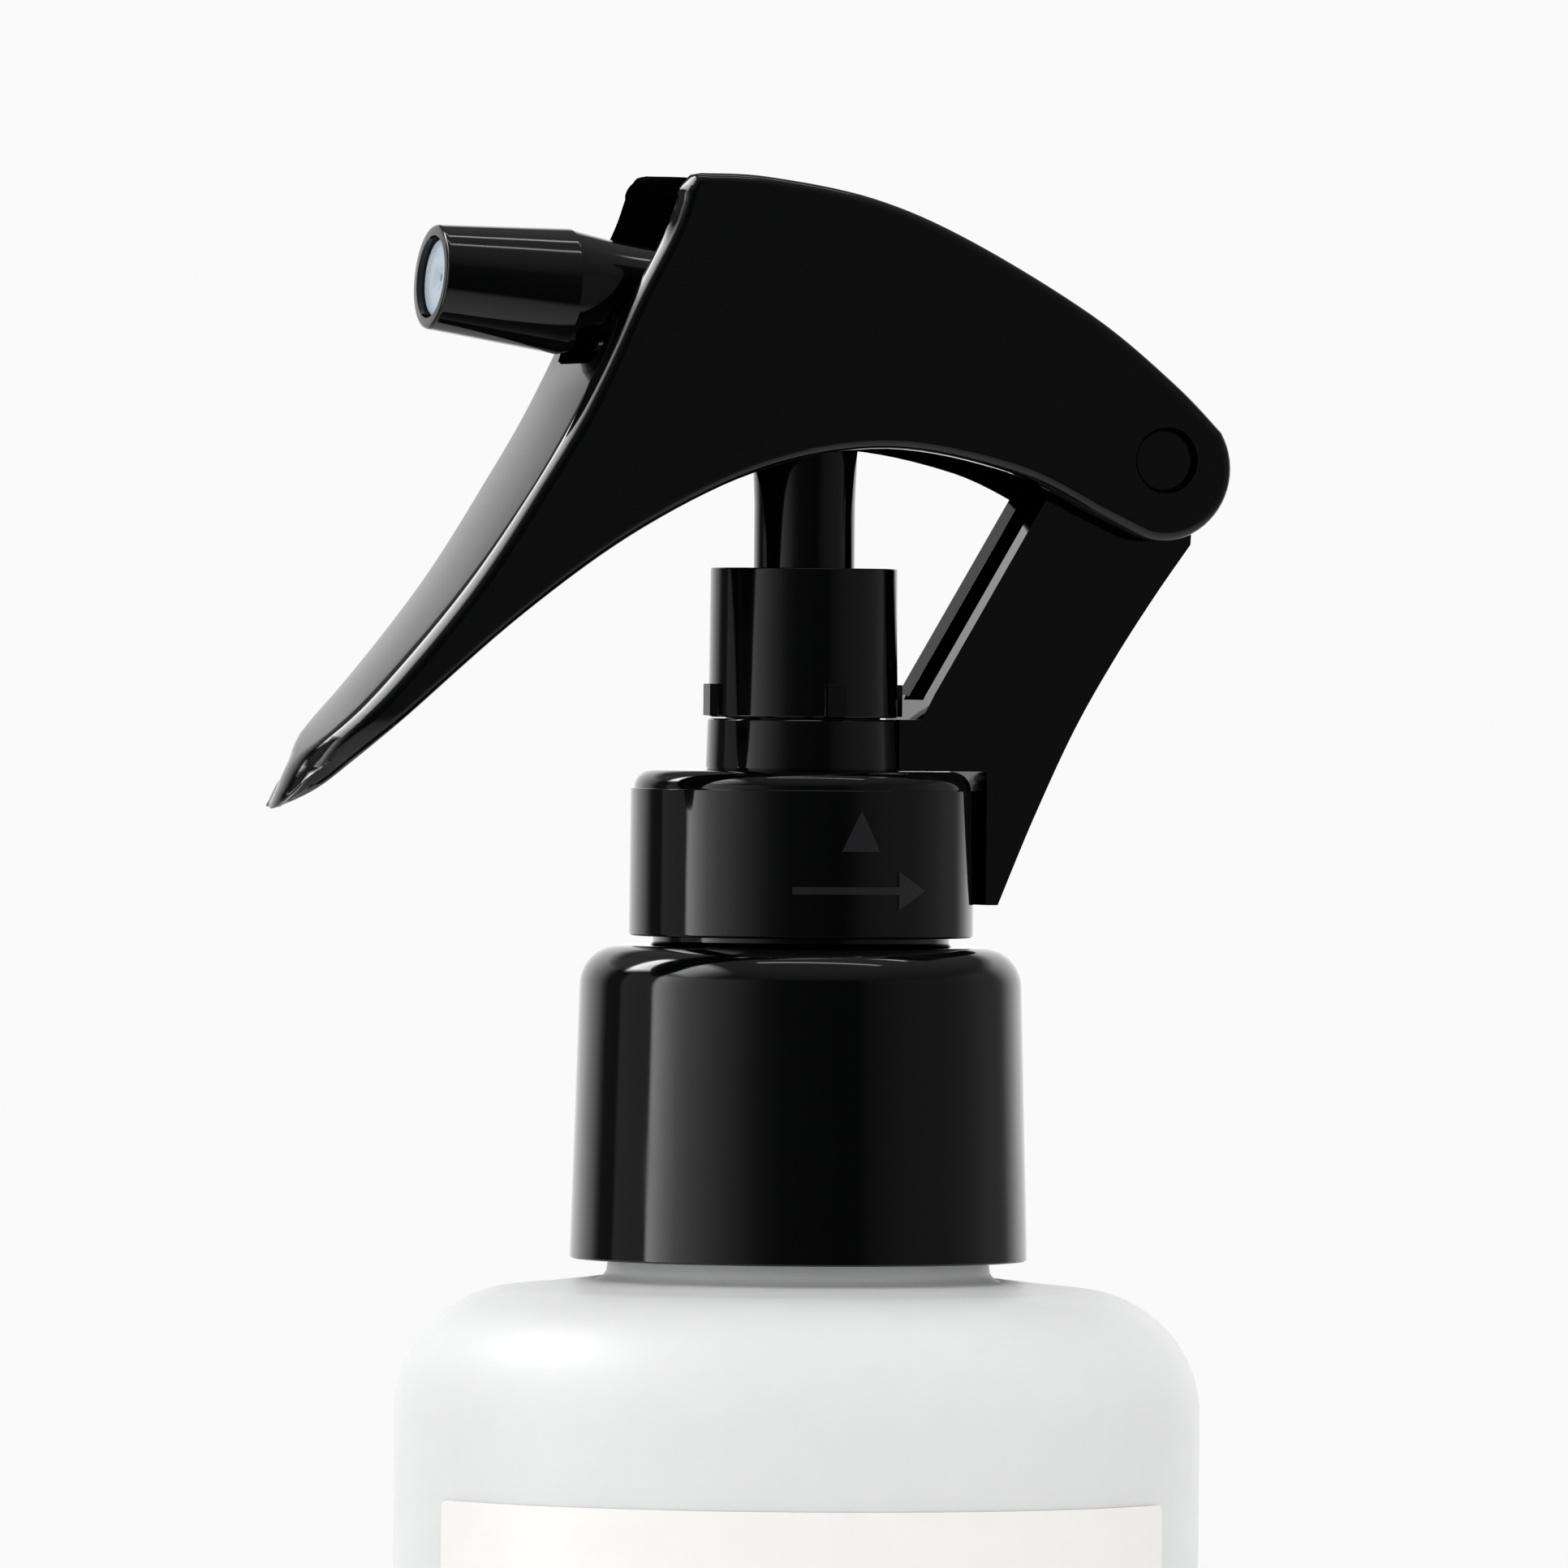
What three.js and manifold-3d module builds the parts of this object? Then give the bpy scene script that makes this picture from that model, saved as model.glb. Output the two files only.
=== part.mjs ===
// Trigger spray bottle: a frosted cylinder bottle with a blank label, a smooth black adapter cap, and a
// small black trigger pump screwed on the adapter's neck.
//
// Frame: millimetres, +Z up, origin on the bottle's axis at its base. The nozzle points along -X, and the
// trigger hinges about Y at the rear. Everything on the bottle's axis is a revolved profile of (radius, z).

import * as THREE from "three";
import { mergeVertices } from "three/addons/utils/BufferGeometryUtils.js";
import Module from "manifold-3d";

const wasm = await Module();
wasm.setup();

// ---------------------------------------------------------------- driving dimensions

const TURN = 2 * Math.PI;
const ROUND = 40; // sides of the large round pieces
const ROUND_SMALL = 20; // sides of the pump's inner pieces
const FIT = 0.05; // gap between faces that touch
const SLIDE = 0.08; // gap round a sliding or turning face

// Bottle
const BOTTLE_R = 32.65;
const BOTTLE_WALL = 1.3;
const BASE_WALL = 1.8;
const HEEL_R = 3;
const SHOULDER_R = 10.15; // radius of the round shoulder
const SHOULDER_Z = 109.4; // centre of the shoulder's arc
const SHOULDER_EDGE = { r: 16.85, z: 120.2 }; // crease where the shoulder meets the neck
const NECK_Z = 121.8; // lower rim of the adapter cap
const MOUTH_Z = 143.6;
const NECK_BORE_R = 13;

// 33 mm neck thread, 6 per inch, and 24 mm neck thread, 8 per inch; both turn one and a half times
const BOTTLE_THREAD = { rootR: 15.1, crestR: 16.2, capR: 16.5, pitch: 25.4 / 6, top: 139.6 };
const PUMP_THREAD = { rootR: 10.9, crestR: 11.95, capR: 12.2, pitch: 25.4 / 8, top: 155.6 };
const THREAD_TURNS = 1.5;
const THREAD_STEPS = 20; // steps in one turn
const THREAD_DEPTH = 0.75; // how far the cap's ridge reaches past the neck's crest
const THREAD_DROP = 1.1; // the cap's ridge lies this far under the neck's ridge
const THREAD_ROOTING = 0.4; // how deep a ridge sits in its wall
const NECK_RIDGE = { base: 1.6, crest: 0.7 }; // widths of the neck's ridge
const CAP_RIDGE = { base: 1.3, crest: 0.5 }; // widths of the cap's ridge
const THREAD_RUN_OUT = 0.5; // turn, in radians, over which a ridge's end thins

// Label
const LABEL_WIDTH = 70.4; // along the arc
const LABEL_Z = [20, 102.8];
const LABEL_THICK = 0.15;
const LABEL_ANGLE = THREE.MathUtils.degToRad(-108.3); // direction its middle faces

// Adapter cap
const ADAPTER_R = [18.585, 17.95]; // at its rim and under its top fillet
const ADAPTER_TOP_Z = 147.2;
const ADAPTER_FILLET = 3.3;
const ADAPTER_ROOF = 2;
const ADAPTER_BORE_R = 9.2;
const ADAPTER_LAND_R = 12.05; // smooth land at the foot of the upper neck
const PUMP_MOUTH_Z = 156.9;

// Screw collar
const COLLAR_Z = [147.95, 161.4];
const COLLAR_R = 13.98;
const COLLAR_STEP = { z: 159.9, r: 13.66 }; // small ledge under the rounded top
const COLLAR_WALL = 1.2;
const COLLAR_HOLE_R = 7.98;

// Pump body with its rear arm
const RING_R = [7.86, 7.74]; // at the foot and the top of the visible ring
const RING_TOP_Z = 165.6;
const RING_BORE_R = 6.35;
const RING_FLOOR_Z = [161.3, 162.6];
const SEAL_R = 5.25; // room for the stem's seal
const FLANGE_R = 10.9;
const FLANGE_Z = [159.05, 160.12];
const ARM_HALF = 4;
const ARM_WALL = 1;
const ARM_BACK_WALL = 1.4;
const ARM_ROOT_X = 6.75; // the arm starts inside the ring's wall
const ARM_LIFT = 0.1; // gap between the arm's foot and the collar
const CHANNEL = { x: 8.2, floor: 0.4, rise: 2.4 }; // the hollow's foot, from the ring's top

// Column sleeve round the actuator's stem
const COLUMN_R = [7.67, 7.6];
const COLUMN_Z = [165.7, 177.8];
const COLUMN_TOP = 1.2;
const COLUMN_BORE_R = 5.6;
const COLUMN_PLUG_Z = 163;
const LUG = { r: 8.3, width: 1.7, z: [165.8, 168.4], count: 4 };

// Pump chamber, piston and valves
const CHAMBER_R = 4.6;
const CHAMBER_Z = [138, 159];
const CHAMBER_WALL = 1.3;
const HOUSING_FLANGE = { r: 10.6, z: 157.9 };
const BALL_CAVITY_R = 2.3;
const BALL_R = 2;
const SEAT = { r: 1, z: 132.3 };
const SEAT_HEIGHT = 1;
const SOCKET_Z = [119, 127.5];
const TUBE_R = [1.5, 2.2];
const TUBE_END_Z = 6;
const STEM_R = 2.6;
const STEM_BORE_R = 1;
const STEM_Z = [153, 181];
const PISTON_Z = [153.55, 158];
const SPRING = { r: 3.3, wire: 0.4, coils: 6.5, z: [138.06, 152.9] };

// Actuator: upright stem and tilted nozzle tube in one moulding
const ACTUATOR_R = 4.1;
const ACTUATOR_Z = [169.5, 201.6];
const NOZZLE_FRONT = { x: -32.2, z: 200.95 };
const NOZZLE_REAR = { x: 0, z: 198 };
const NOZZLE_R = { front: 4.25, shoulder: 5.1, neck: 4.55, tube: 4.25 };
const NOZZLE_S = { shoulder: 11.3, neck: 14.8, tube: 20 }; // distances behind the nozzle's front
const NOZZLE_CAVITY = { r: 3.3, depth: 10 };
const PASSAGE_R = 1.5;
const VALVE_BORE_R = 1.95;
const VALVE_BALL_R = 1.6;
const TRUNNION = { z: 192, r: 1.4, half: 6.1 };

// Trigger
const HINGE = { x: 28.48, z: 186.82 };
const TRIGGER_HALF = 7.7;
const TRIGGER_WALL = 1.3;
const HINGE_HOLE_R = 2.7;
const PIN = { r: 2.62, half: 6.9 };
const HINGE_BOSS = { r: 3.4, half: 6.1 };
const HINGE_HEAD_R = 3.8;
const HINGE_HEAD_TURN = 2.2; // the head's arc ends where the arm's straight front starts
const NOZZLE_GAP_Z = 194.8; // lower edge of the nozzle's opening in the trigger's front
const ROOF_FRONT_X = -8; // the roof between the cheeks starts here
const BLADE_WALL = 1.7;
const BLADE_DISH = 0.4; // depth of the finger face between its rims
const BLADE_RIM = 0.9;
const BLADE_HOLLOW_Z = 165; // the blade is solid under this height
const FINGER_FACE_Z = 162; // lower end of the finger face
const NOTCH = { r: 2.6, flatness: 0.32 }; // shallow notch under the nozzle
const FORK = { x: 5.2, z: [188.4, 197], slot: 3.4, play: 0.3 }; // lugs that hold the actuator's trunnions
const FAR = 60; // beyond every side of the trigger

// Trigger outlines, as (x, z). The top runs from the front corner to the hinge's round end.
const TRIGGER_TOP = [
  [-11.6, 209.5],
  [-5.9, 209.3],
  [3.15, 207.7],
  [11.6, 204.4],
  [22.2, 198.5],
  [29.3, 193.1],
  [33.4, 189.2],
];
const TRIGGER_END = { x: 28.45, z: 186.1, r: 5.85, from: 0.56, to: -1.95 };
const TRIGGER_BOTTOM = [
  [22.3, 182.5],
  [15.25, 185.7],
  [4.7, 187.5],
  [-5.7, 185.8],
  [-16.1, 180.95],
  [-26.2, 173.9],
  [-36, 165.4],
  [-41.8, 160.1],
  [-45.3, 158.1],
];
const TRIGGER_FRONT = [
  [-44.75, 159.4],
  [-42.7, 162.9],
  [-37.3, 168.4],
  [-30.75, 176.25],
  [-25.4, 184.1],
  [-21.2, 191.2],
  [-17.6, 198.9],
  [-14.9, 204.1],
  [-13.6, 207.6],
];
// Half width of the blade seen from the front, as (y, z), from the tip upwards
const BLADE_HALF_WIDTHS = [
  [1.6, 158.1],
  [3.2, 159.7],
  [4.2, 161.5],
  [5.5, 163.5],
  [6.4, 165.8],
  [6.95, 171],
  [7.25, 176.5],
  [7.55, 184],
  [TRIGGER_HALF, 190],
];
// Rear arm's outlines, as (x, z)
const ARM_BACK = [
  [15.4, 150.6],
  [18.4, 157.55],
  [21.9, 164.8],
  [25.4, 170.7],
  [28.9, 175.9],
  [31.9, 180],
];
const ARM_FRONT = [
  [20.6, 185.7],
  [9.85, 167.7],
  [9, 166.4],
  [8.6, RING_TOP_Z],
];
const TAIL_X = 14.35;

// ---------------------------------------------------------------- colours

const plastic = (color, roughness) => ({ color, roughness, metalness: 0 });
const FINISH = {
  black: plastic("#0c0d0e", 0.14),
  frosted: plastic("#eef1ee", 0.62),
  label: plastic("#f7f6f2", 0.5),
  white: plastic("#f1f1ee", 0.35),
  natural: plastic("#dfe5e6", 0.4),
  foam: plastic("#e9e7df", 0.85),
  steel: { color: "#b9bcbd", roughness: 0.25, metalness: 1 },
};

// ---------------------------------------------------------------- geometry helpers

// A closed geometry as a solid that can be joined and cut.
function solid(geometry) {
  const bare = geometry.clone();
  bare.deleteAttribute("normal");
  bare.deleteAttribute("uv");
  const merged = mergeVertices(bare, 1e-4);
  return new wasm.Manifold(
    new wasm.Mesh({
      numProp: 3,
      vertProperties: merged.attributes.position.array,
      triVerts: new Uint32Array(merged.index.array),
    }),
  );
}

function geometryOf(body) {
  const mesh = body.getMesh();
  const geometry = new THREE.BufferGeometry();
  geometry.setAttribute("position", new THREE.BufferAttribute(mesh.vertProperties, 3));
  geometry.setIndex(new THREE.BufferAttribute(mesh.triVerts, 1));
  geometry.computeVertexNormals();
  return geometry;
}

const vectors = (pairs) => pairs.map(([a, b]) => new THREE.Vector2(a, b));

// Revolves a closed (radius, z) outline, given counter-clockwise, about Z.
function revolve(outline, sides = ROUND) {
  const points = Array.isArray(outline) ? vectors(outline) : outline.getPoints(3);
  const onAxis = points[0].x === 0 && points.at(-1).x === 0;
  if (!onAxis && !points[0].equals(points.at(-1))) points.push(points[0].clone());
  return new THREE.LatheGeometry(points, sides).rotateX(Math.PI / 2);
}

// A plain tube or disc between two radii and two heights.
function ring(innerR, outerR, low, high, sides = ROUND) {
  return revolve([[innerR, low], [outerR, low], [outerR, high], [innerR, high]], sides);
}

function rod(r, low, high, sides = ROUND_SMALL) {
  return new THREE.CylinderGeometry(r, r, high - low, sides)
    .rotateX(Math.PI / 2)
    .translate(0, 0, (low + high) / 2);
}

// A rod along Y, centred on (x, z).
function crossRod(r, half, x, z, sides = ROUND_SMALL) {
  return new THREE.CylinderGeometry(r, r, 2 * half, sides).translate(x, 0, z);
}

function box(low, high) {
  const size = high.map((value, i) => value - low[i]);
  const middle = high.map((value, i) => (value + low[i]) / 2);
  return new THREE.BoxGeometry(...size).translate(...middle);
}

// Extrudes a side outline of (x, z) along Y, the same distance each way.
function extrudeSide(shape, half, curveSegments = 2) {
  return new THREE.ExtrudeGeometry(shape, { depth: 2 * half, bevelEnabled: false, curveSegments })
    .rotateX(Math.PI / 2)
    .translate(0, half, 0);
}

// Extrudes a front outline of (y, z) along X.
function extrudeFront(shape, from, to, curveSegments = 2) {
  return new THREE.ExtrudeGeometry(shape, { depth: to - from, bevelEnabled: false, curveSegments })
    .rotateX(Math.PI / 2)
    .rotateZ(Math.PI / 2)
    .translate(from, 0, 0);
}

function polygon(pairs) {
  return new THREE.Shape(vectors(pairs));
}

// Points of a smooth curve through a few given ones.
function smooth(pairs, steps = 2) {
  const points = new THREE.SplineCurve(vectors(pairs)).getPoints(steps * (pairs.length - 1));
  return points.map((point) => [point.x, point.y]);
}

// Moves each point of an open outline sideways, to the left of its direction.
function shifted(pairs, distance) {
  return pairs.map(([x, z], i) => {
    const before = pairs[Math.max(i - 1, 0)];
    const after = pairs[Math.min(i + 1, pairs.length - 1)];
    const dx = after[0] - before[0];
    const dz = after[1] - before[1];
    const length = Math.hypot(dx, dz);
    return [x - (dz / length) * distance, z + (dx / length) * distance];
  });
}

// A thread's ridge: a bar of the thread's section wound down a right-hand helix, thinning at both ends.
function threadRidge({ baseR, crestR, ridge, pitch, top }) {
  const section = polygon([
    [baseR, -ridge.base / 2],
    [crestR, -ridge.crest / 2],
    [crestR, ridge.crest / 2],
    [baseR, ridge.base / 2],
  ]);
  const length = THREAD_TURNS * TURN;
  const geometry = new THREE.ExtrudeGeometry(section, {
    depth: length,
    steps: THREAD_TURNS * THREAD_STEPS,
    bevelEnabled: false,
  });
  const position = geometry.attributes.position;
  for (let i = 0; i < position.count; i++) {
    const along = position.getZ(i);
    const toEnd = Math.min(along, length - along);
    const height = Math.min(1, 0.35 + toEnd / THREAD_RUN_OUT);
    const r = baseR + (position.getX(i) - baseR) * height;
    const z = top + position.getY(i) - (pitch * along) / TURN;
    position.setXYZ(i, r * Math.cos(-along), r * Math.sin(-along), z);
  }
  return geometry;
}

function neckThread({ rootR, crestR, pitch, top }) {
  return threadRidge({ baseR: rootR - THREAD_ROOTING, crestR, ridge: NECK_RIDGE, pitch, top });
}

function capThread({ crestR, capR, pitch, top }) {
  return threadRidge({
    baseR: capR + THREAD_ROOTING,
    crestR: crestR - THREAD_DEPTH,
    ridge: CAP_RIDGE,
    pitch,
    top: top - THREAD_DROP,
  });
}

// Turns a geometry made round Z, with its front at z = 0, into the nozzle's tilted direction.
const NOZZLE_TILT = Math.atan2(NOZZLE_FRONT.z - NOZZLE_REAR.z, NOZZLE_REAR.x - NOZZLE_FRONT.x);
function towardsNozzle(geometry) {
  return geometry.rotateY(Math.PI / 2 + NOZZLE_TILT).translate(NOZZLE_FRONT.x, 0, NOZZLE_FRONT.z);
}

// ---------------------------------------------------------------- bottle and label

function bottle() {
  const inner = BOTTLE_R - BOTTLE_WALL;
  const arcX = BOTTLE_R - SHOULDER_R;
  const outline = new THREE.Path();
  outline.moveTo(0, 0);
  outline.lineTo(BOTTLE_R - HEEL_R, 0);
  outline.absarc(BOTTLE_R - HEEL_R, HEEL_R, HEEL_R, -Math.PI / 2, 0);
  outline.absarc(arcX, SHOULDER_Z, SHOULDER_R, 0, Math.PI / 2);
  outline.lineTo(SHOULDER_EDGE.r, SHOULDER_EDGE.z);
  outline.quadraticCurveTo(BOTTLE_THREAD.rootR + 0.4, SHOULDER_EDGE.z, BOTTLE_THREAD.rootR + 0.3, NECK_Z);
  outline.lineTo(BOTTLE_THREAD.rootR, NECK_Z + 1);
  outline.lineTo(BOTTLE_THREAD.rootR, MOUTH_Z - 0.4);
  outline.lineTo(BOTTLE_THREAD.rootR - 0.4, MOUTH_Z);
  outline.lineTo(NECK_BORE_R, MOUTH_Z);
  outline.lineTo(NECK_BORE_R, SHOULDER_EDGE.z - 0.8);
  outline.lineTo(arcX, SHOULDER_Z + SHOULDER_R - BOTTLE_WALL);
  outline.absarc(arcX, SHOULDER_Z, SHOULDER_R - BOTTLE_WALL, Math.PI / 2, 0, true);
  outline.lineTo(inner, BASE_WALL + HEEL_R - BOTTLE_WALL);
  outline.lineTo(BOTTLE_R - HEEL_R, BASE_WALL);
  outline.lineTo(0, BASE_WALL);
  return geometryOf(solid(revolve(outline)).add(solid(neckThread(BOTTLE_THREAD))));
}

function frontLabel() {
  const innerR = BOTTLE_R + SLIDE;
  const half = LABEL_WIDTH / BOTTLE_R / 2;
  const shape = new THREE.Shape();
  shape.absarc(0, 0, innerR + LABEL_THICK, LABEL_ANGLE - half, LABEL_ANGLE + half);
  shape.absarc(0, 0, innerR, LABEL_ANGLE + half, LABEL_ANGLE - half, true);
  const depth = LABEL_Z[1] - LABEL_Z[0];
  return new THREE.ExtrudeGeometry(shape, { depth, bevelEnabled: false, curveSegments: 18 });
}

// ---------------------------------------------------------------- adapter and collar

function adapterCap() {
  const roof = ADAPTER_TOP_Z - ADAPTER_ROOF;
  const fillet = ADAPTER_R[1] - ADAPTER_FILLET;
  const outline = new THREE.Path();
  outline.moveTo(BOTTLE_THREAD.capR + 0.3, NECK_Z);
  outline.lineTo(ADAPTER_R[0], NECK_Z);
  outline.lineTo(ADAPTER_R[1], ADAPTER_TOP_Z - ADAPTER_FILLET);
  outline.absarc(fillet, ADAPTER_TOP_Z - ADAPTER_FILLET, ADAPTER_FILLET, 0, Math.PI / 2);
  outline.lineTo(ADAPTER_LAND_R, ADAPTER_TOP_Z);
  outline.lineTo(ADAPTER_LAND_R, COLLAR_Z[0] + 0.6);
  outline.lineTo(PUMP_THREAD.rootR, COLLAR_Z[0] + 1.4);
  outline.lineTo(PUMP_THREAD.rootR, PUMP_MOUTH_Z - 0.3);
  outline.lineTo(PUMP_THREAD.rootR - 0.3, PUMP_MOUTH_Z);
  outline.lineTo(ADAPTER_BORE_R, PUMP_MOUTH_Z);
  outline.lineTo(ADAPTER_BORE_R, roof);
  outline.lineTo(BOTTLE_THREAD.capR, roof);
  outline.lineTo(BOTTLE_THREAD.capR, NECK_Z + 1.5);
  outline.closePath();
  const lower = solid(capThread(BOTTLE_THREAD));
  const upper = solid(neckThread(PUMP_THREAD));
  return geometryOf(solid(revolve(outline)).add(lower).add(upper));
}

function collar() {
  const [low, high] = COLLAR_Z;
  const domeR = high - COLLAR_STEP.z;
  const outline = new THREE.Path();
  outline.moveTo(PUMP_THREAD.capR + 0.2, low);
  outline.lineTo(COLLAR_R - 0.15, low);
  outline.lineTo(COLLAR_R, low + 0.15);
  outline.lineTo(COLLAR_R - 0.05, COLLAR_STEP.z);
  outline.lineTo(COLLAR_STEP.r, COLLAR_STEP.z);
  outline.absarc(COLLAR_STEP.r - domeR, COLLAR_STEP.z, domeR, 0, Math.PI / 2);
  outline.lineTo(COLLAR_HOLE_R, high);
  outline.lineTo(COLLAR_HOLE_R, high - COLLAR_WALL);
  outline.lineTo(PUMP_THREAD.capR, high - COLLAR_WALL);
  outline.lineTo(PUMP_THREAD.capR, low + 1);
  outline.closePath();
  return geometryOf(solid(revolve(outline)).add(solid(capThread(PUMP_THREAD))));
}

// ---------------------------------------------------------------- pump body, sleeve and chamber

// The side outline of the rear arm: tail behind the collar, curved back, round head and straight front.
function armOutline() {
  const back = smooth(ARM_BACK);
  const foot = COLLAR_Z[1] + ARM_LIFT;
  const shape = polygon([[ARM_ROOT_X, foot], [TAIL_X, foot], [TAIL_X, ARM_BACK[0][1]]]);
  back.forEach(([x, z]) => shape.lineTo(x, z));
  shape.lineTo(HINGE.x + HINGE_HEAD_R, HINGE.z);
  shape.absarc(HINGE.x, HINGE.z, HINGE_HEAD_R, 0, HINGE_HEAD_TURN);
  ARM_FRONT.forEach(([x, z]) => shape.lineTo(x, z));
  shape.lineTo(ARM_ROOT_X, RING_TOP_Z);
  return shape;
}

// The hollow of the arm, open to the front, between its two side walls and in front of its back wall.
function armChannel() {
  const floor = RING_TOP_Z + CHANNEL.floor;
  const back = shifted(smooth(ARM_BACK), ARM_BACK_WALL).filter(([, z]) => z > floor);
  const head = { x: HINGE.x - 1.2, z: HINGE.z - HINGE_HEAD_R };
  return polygon([
    [CHANNEL.x, floor],
    [back[0][0] - 0.2, floor],
    ...back,
    [head.x, head.z],
    [ARM_FRONT[0][0] - 1.2, HINGE.z],
    [CHANNEL.x, RING_TOP_Z + CHANNEL.rise],
  ]);
}

function pumpBody() {
  const [floorLow, floorHigh] = RING_FLOOR_Z;
  const hub = revolve([
    [SEAL_R, FLANGE_Z[0]],
    [FLANGE_R, FLANGE_Z[0]],
    [FLANGE_R, FLANGE_Z[1]],
    [RING_R[0] - 0.1, FLANGE_Z[1]],
    [RING_R[0] - 0.1, COLLAR_Z[1] + 0.1],
    [RING_R[0], COLLAR_Z[1] + 0.3],
    [RING_R[1], RING_TOP_Z],
    [RING_BORE_R, RING_TOP_Z],
    [RING_BORE_R, floorHigh],
    [STEM_R + SLIDE, floorHigh],
    [STEM_R + SLIDE, floorLow],
    [SEAL_R, floorLow],
  ]);
  const arm = solid(extrudeSide(armOutline(), ARM_HALF, 8));
  const channel = solid(extrudeSide(armChannel(), ARM_HALF - ARM_WALL));
  const boss = solid(crossRod(HINGE_BOSS.r, HINGE_BOSS.half, HINGE.x, HINGE.z));
  const pin = solid(crossRod(PIN.r, PIN.half, HINGE.x, HINGE.z));
  return geometryOf(solid(hub).add(arm.subtract(channel)).add(boss).add(pin));
}

function columnSleeve() {
  const [low, high] = COLUMN_Z;
  const plugR = RING_BORE_R - SLIDE;
  const holeR = ACTUATOR_R + 0.35;
  const sleeve = revolve([
    [COLUMN_BORE_R, COLUMN_PLUG_Z],
    [plugR, COLUMN_PLUG_Z],
    [plugR, low],
    [COLUMN_R[0], low],
    [COLUMN_R[1], high - 0.25],
    [COLUMN_R[1] - 0.25, high],
    [holeR + 0.9, high],
    [holeR + 0.9, high + 0.2],
    [holeR, high + 0.2],
    [holeR, high - COLUMN_TOP],
    [COLUMN_BORE_R, high - COLUMN_TOP],
  ]);
  let body = solid(sleeve);
  for (let i = 0; i < LUG.count; i++) {
    const lug = box([COLUMN_R[0] - 0.3, -LUG.width / 2, LUG.z[0]], [LUG.r, LUG.width / 2, LUG.z[1]]);
    body = body.add(solid(lug.rotateZ((i * TURN) / LUG.count)));
  }
  return geometryOf(body);
}

// Wiper between the chamber's rim and the pump body's floor.
function stemSeal() {
  return ring(STEM_R + SLIDE, SEAL_R - FIT, CHAMBER_Z[1] + FIT, RING_FLOOR_Z[0] - FIT, ROUND_SMALL);
}

function pumpHousing() {
  const [floor, rim] = CHAMBER_Z;
  const outerR = CHAMBER_R + CHAMBER_WALL;
  const footR = TUBE_R[1] + 1.4;
  const lipR = BALL_R - 0.15;
  const shell = revolve(
    [
      [TUBE_R[1] + 0.06, SOCKET_Z[0]],
      [footR, SOCKET_Z[0]],
      [footR, SEAT.z],
      [outerR, floor - 1.5],
      [outerR, HOUSING_FLANGE.z],
      [HOUSING_FLANGE.r, HOUSING_FLANGE.z],
      [HOUSING_FLANGE.r, rim],
      [CHAMBER_R, rim],
      [CHAMBER_R, floor],
      [BALL_CAVITY_R, floor],
      [lipR, floor - 0.8],
      [lipR, floor - 1.5],
      [BALL_CAVITY_R, floor - 1.8],
      [BALL_CAVITY_R, SEAT.z + SEAT_HEIGHT],
      [SEAT.r, SEAT.z],
      [SEAT.r, SOCKET_Z[1]],
      [TUBE_R[1] + 0.06, SOCKET_Z[1]],
    ],
    ROUND_SMALL,
  );
  // The air vent lets air into the bottle once the piston has gone past it.
  const vent = crossRod(0.5, 3, 0, 152, 10).translate(0, outerR, 0);
  return geometryOf(solid(shell).subtract(solid(vent)));
}

function piston() {
  const [low, high] = PISTON_Z;
  const lipR = CHAMBER_R - SLIDE;
  const waistR = lipR - 0.6;
  return revolve(
    [
      [STEM_R + FIT, low],
      [lipR - 0.1, low],
      [lipR, low + 0.7],
      [waistR, low + 1.4],
      [waistR, high - 1.4],
      [lipR, high - 0.7],
      [lipR - 0.1, high],
      [STEM_R + FIT, high],
    ],
    ROUND_SMALL,
  );
}

// Hollow rod that carries the piston between two collars and feeds the actuator.
function pistonStem() {
  const [low, high] = STEM_Z;
  return revolve(
    [
      [STEM_BORE_R, low],
      [SPRING.r + 0.4, low],
      [SPRING.r + 0.4, PISTON_Z[0] - FIT],
      [STEM_R, PISTON_Z[0] - FIT],
      [STEM_R, PISTON_Z[1] + FIT],
      [STEM_R + 0.7, PISTON_Z[1] + FIT],
      [STEM_R, PISTON_Z[1] + 0.7],
      [STEM_R, high],
      [STEM_BORE_R + 0.6, high],
      [STEM_BORE_R, high - 0.6],
    ],
    ROUND_SMALL,
  );
}

// A compression spring with its end turns lying flat.
class SpringLine extends THREE.Curve {
  getPoint(t, target = new THREE.Vector3()) {
    const low = SPRING.z[0] + SPRING.wire;
    const rise = SPRING.z[1] - SPRING.z[0] - 2 * SPRING.wire;
    const angle = t * SPRING.coils * TURN;
    const flat = 0.75 / SPRING.coils;
    const climb = THREE.MathUtils.clamp((t - flat) / (1 - 2 * flat), 0, 1);
    const lift = flat * t * 0.6;
    const height = low + rise * climb * (1 - 0.6 * flat) + rise * lift;
    return target.set(SPRING.r * Math.cos(angle), SPRING.r * Math.sin(angle), height);
  }
}

function returnSpring() {
  const wire = new THREE.Shape().absarc(0, 0, SPRING.wire, 0, TURN);
  return new THREE.ExtrudeGeometry(wire, {
    steps: SPRING.coils * 10,
    curveSegments: 3,
    extrudePath: new SpringLine(),
  });
}

function dipTube() {
  const tube = solid(ring(TUBE_R[0], TUBE_R[1], TUBE_END_Z, SOCKET_Z[1] - 0.3, 16));
  const bevel = box([-10, -10, -10], [10, 10, 0]).rotateY(THREE.MathUtils.degToRad(35));
  return geometryOf(tube.subtract(solid(bevel.translate(0, 0, TUBE_END_Z + 1.7))));
}

// ---------------------------------------------------------------- actuator and nozzle

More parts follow.
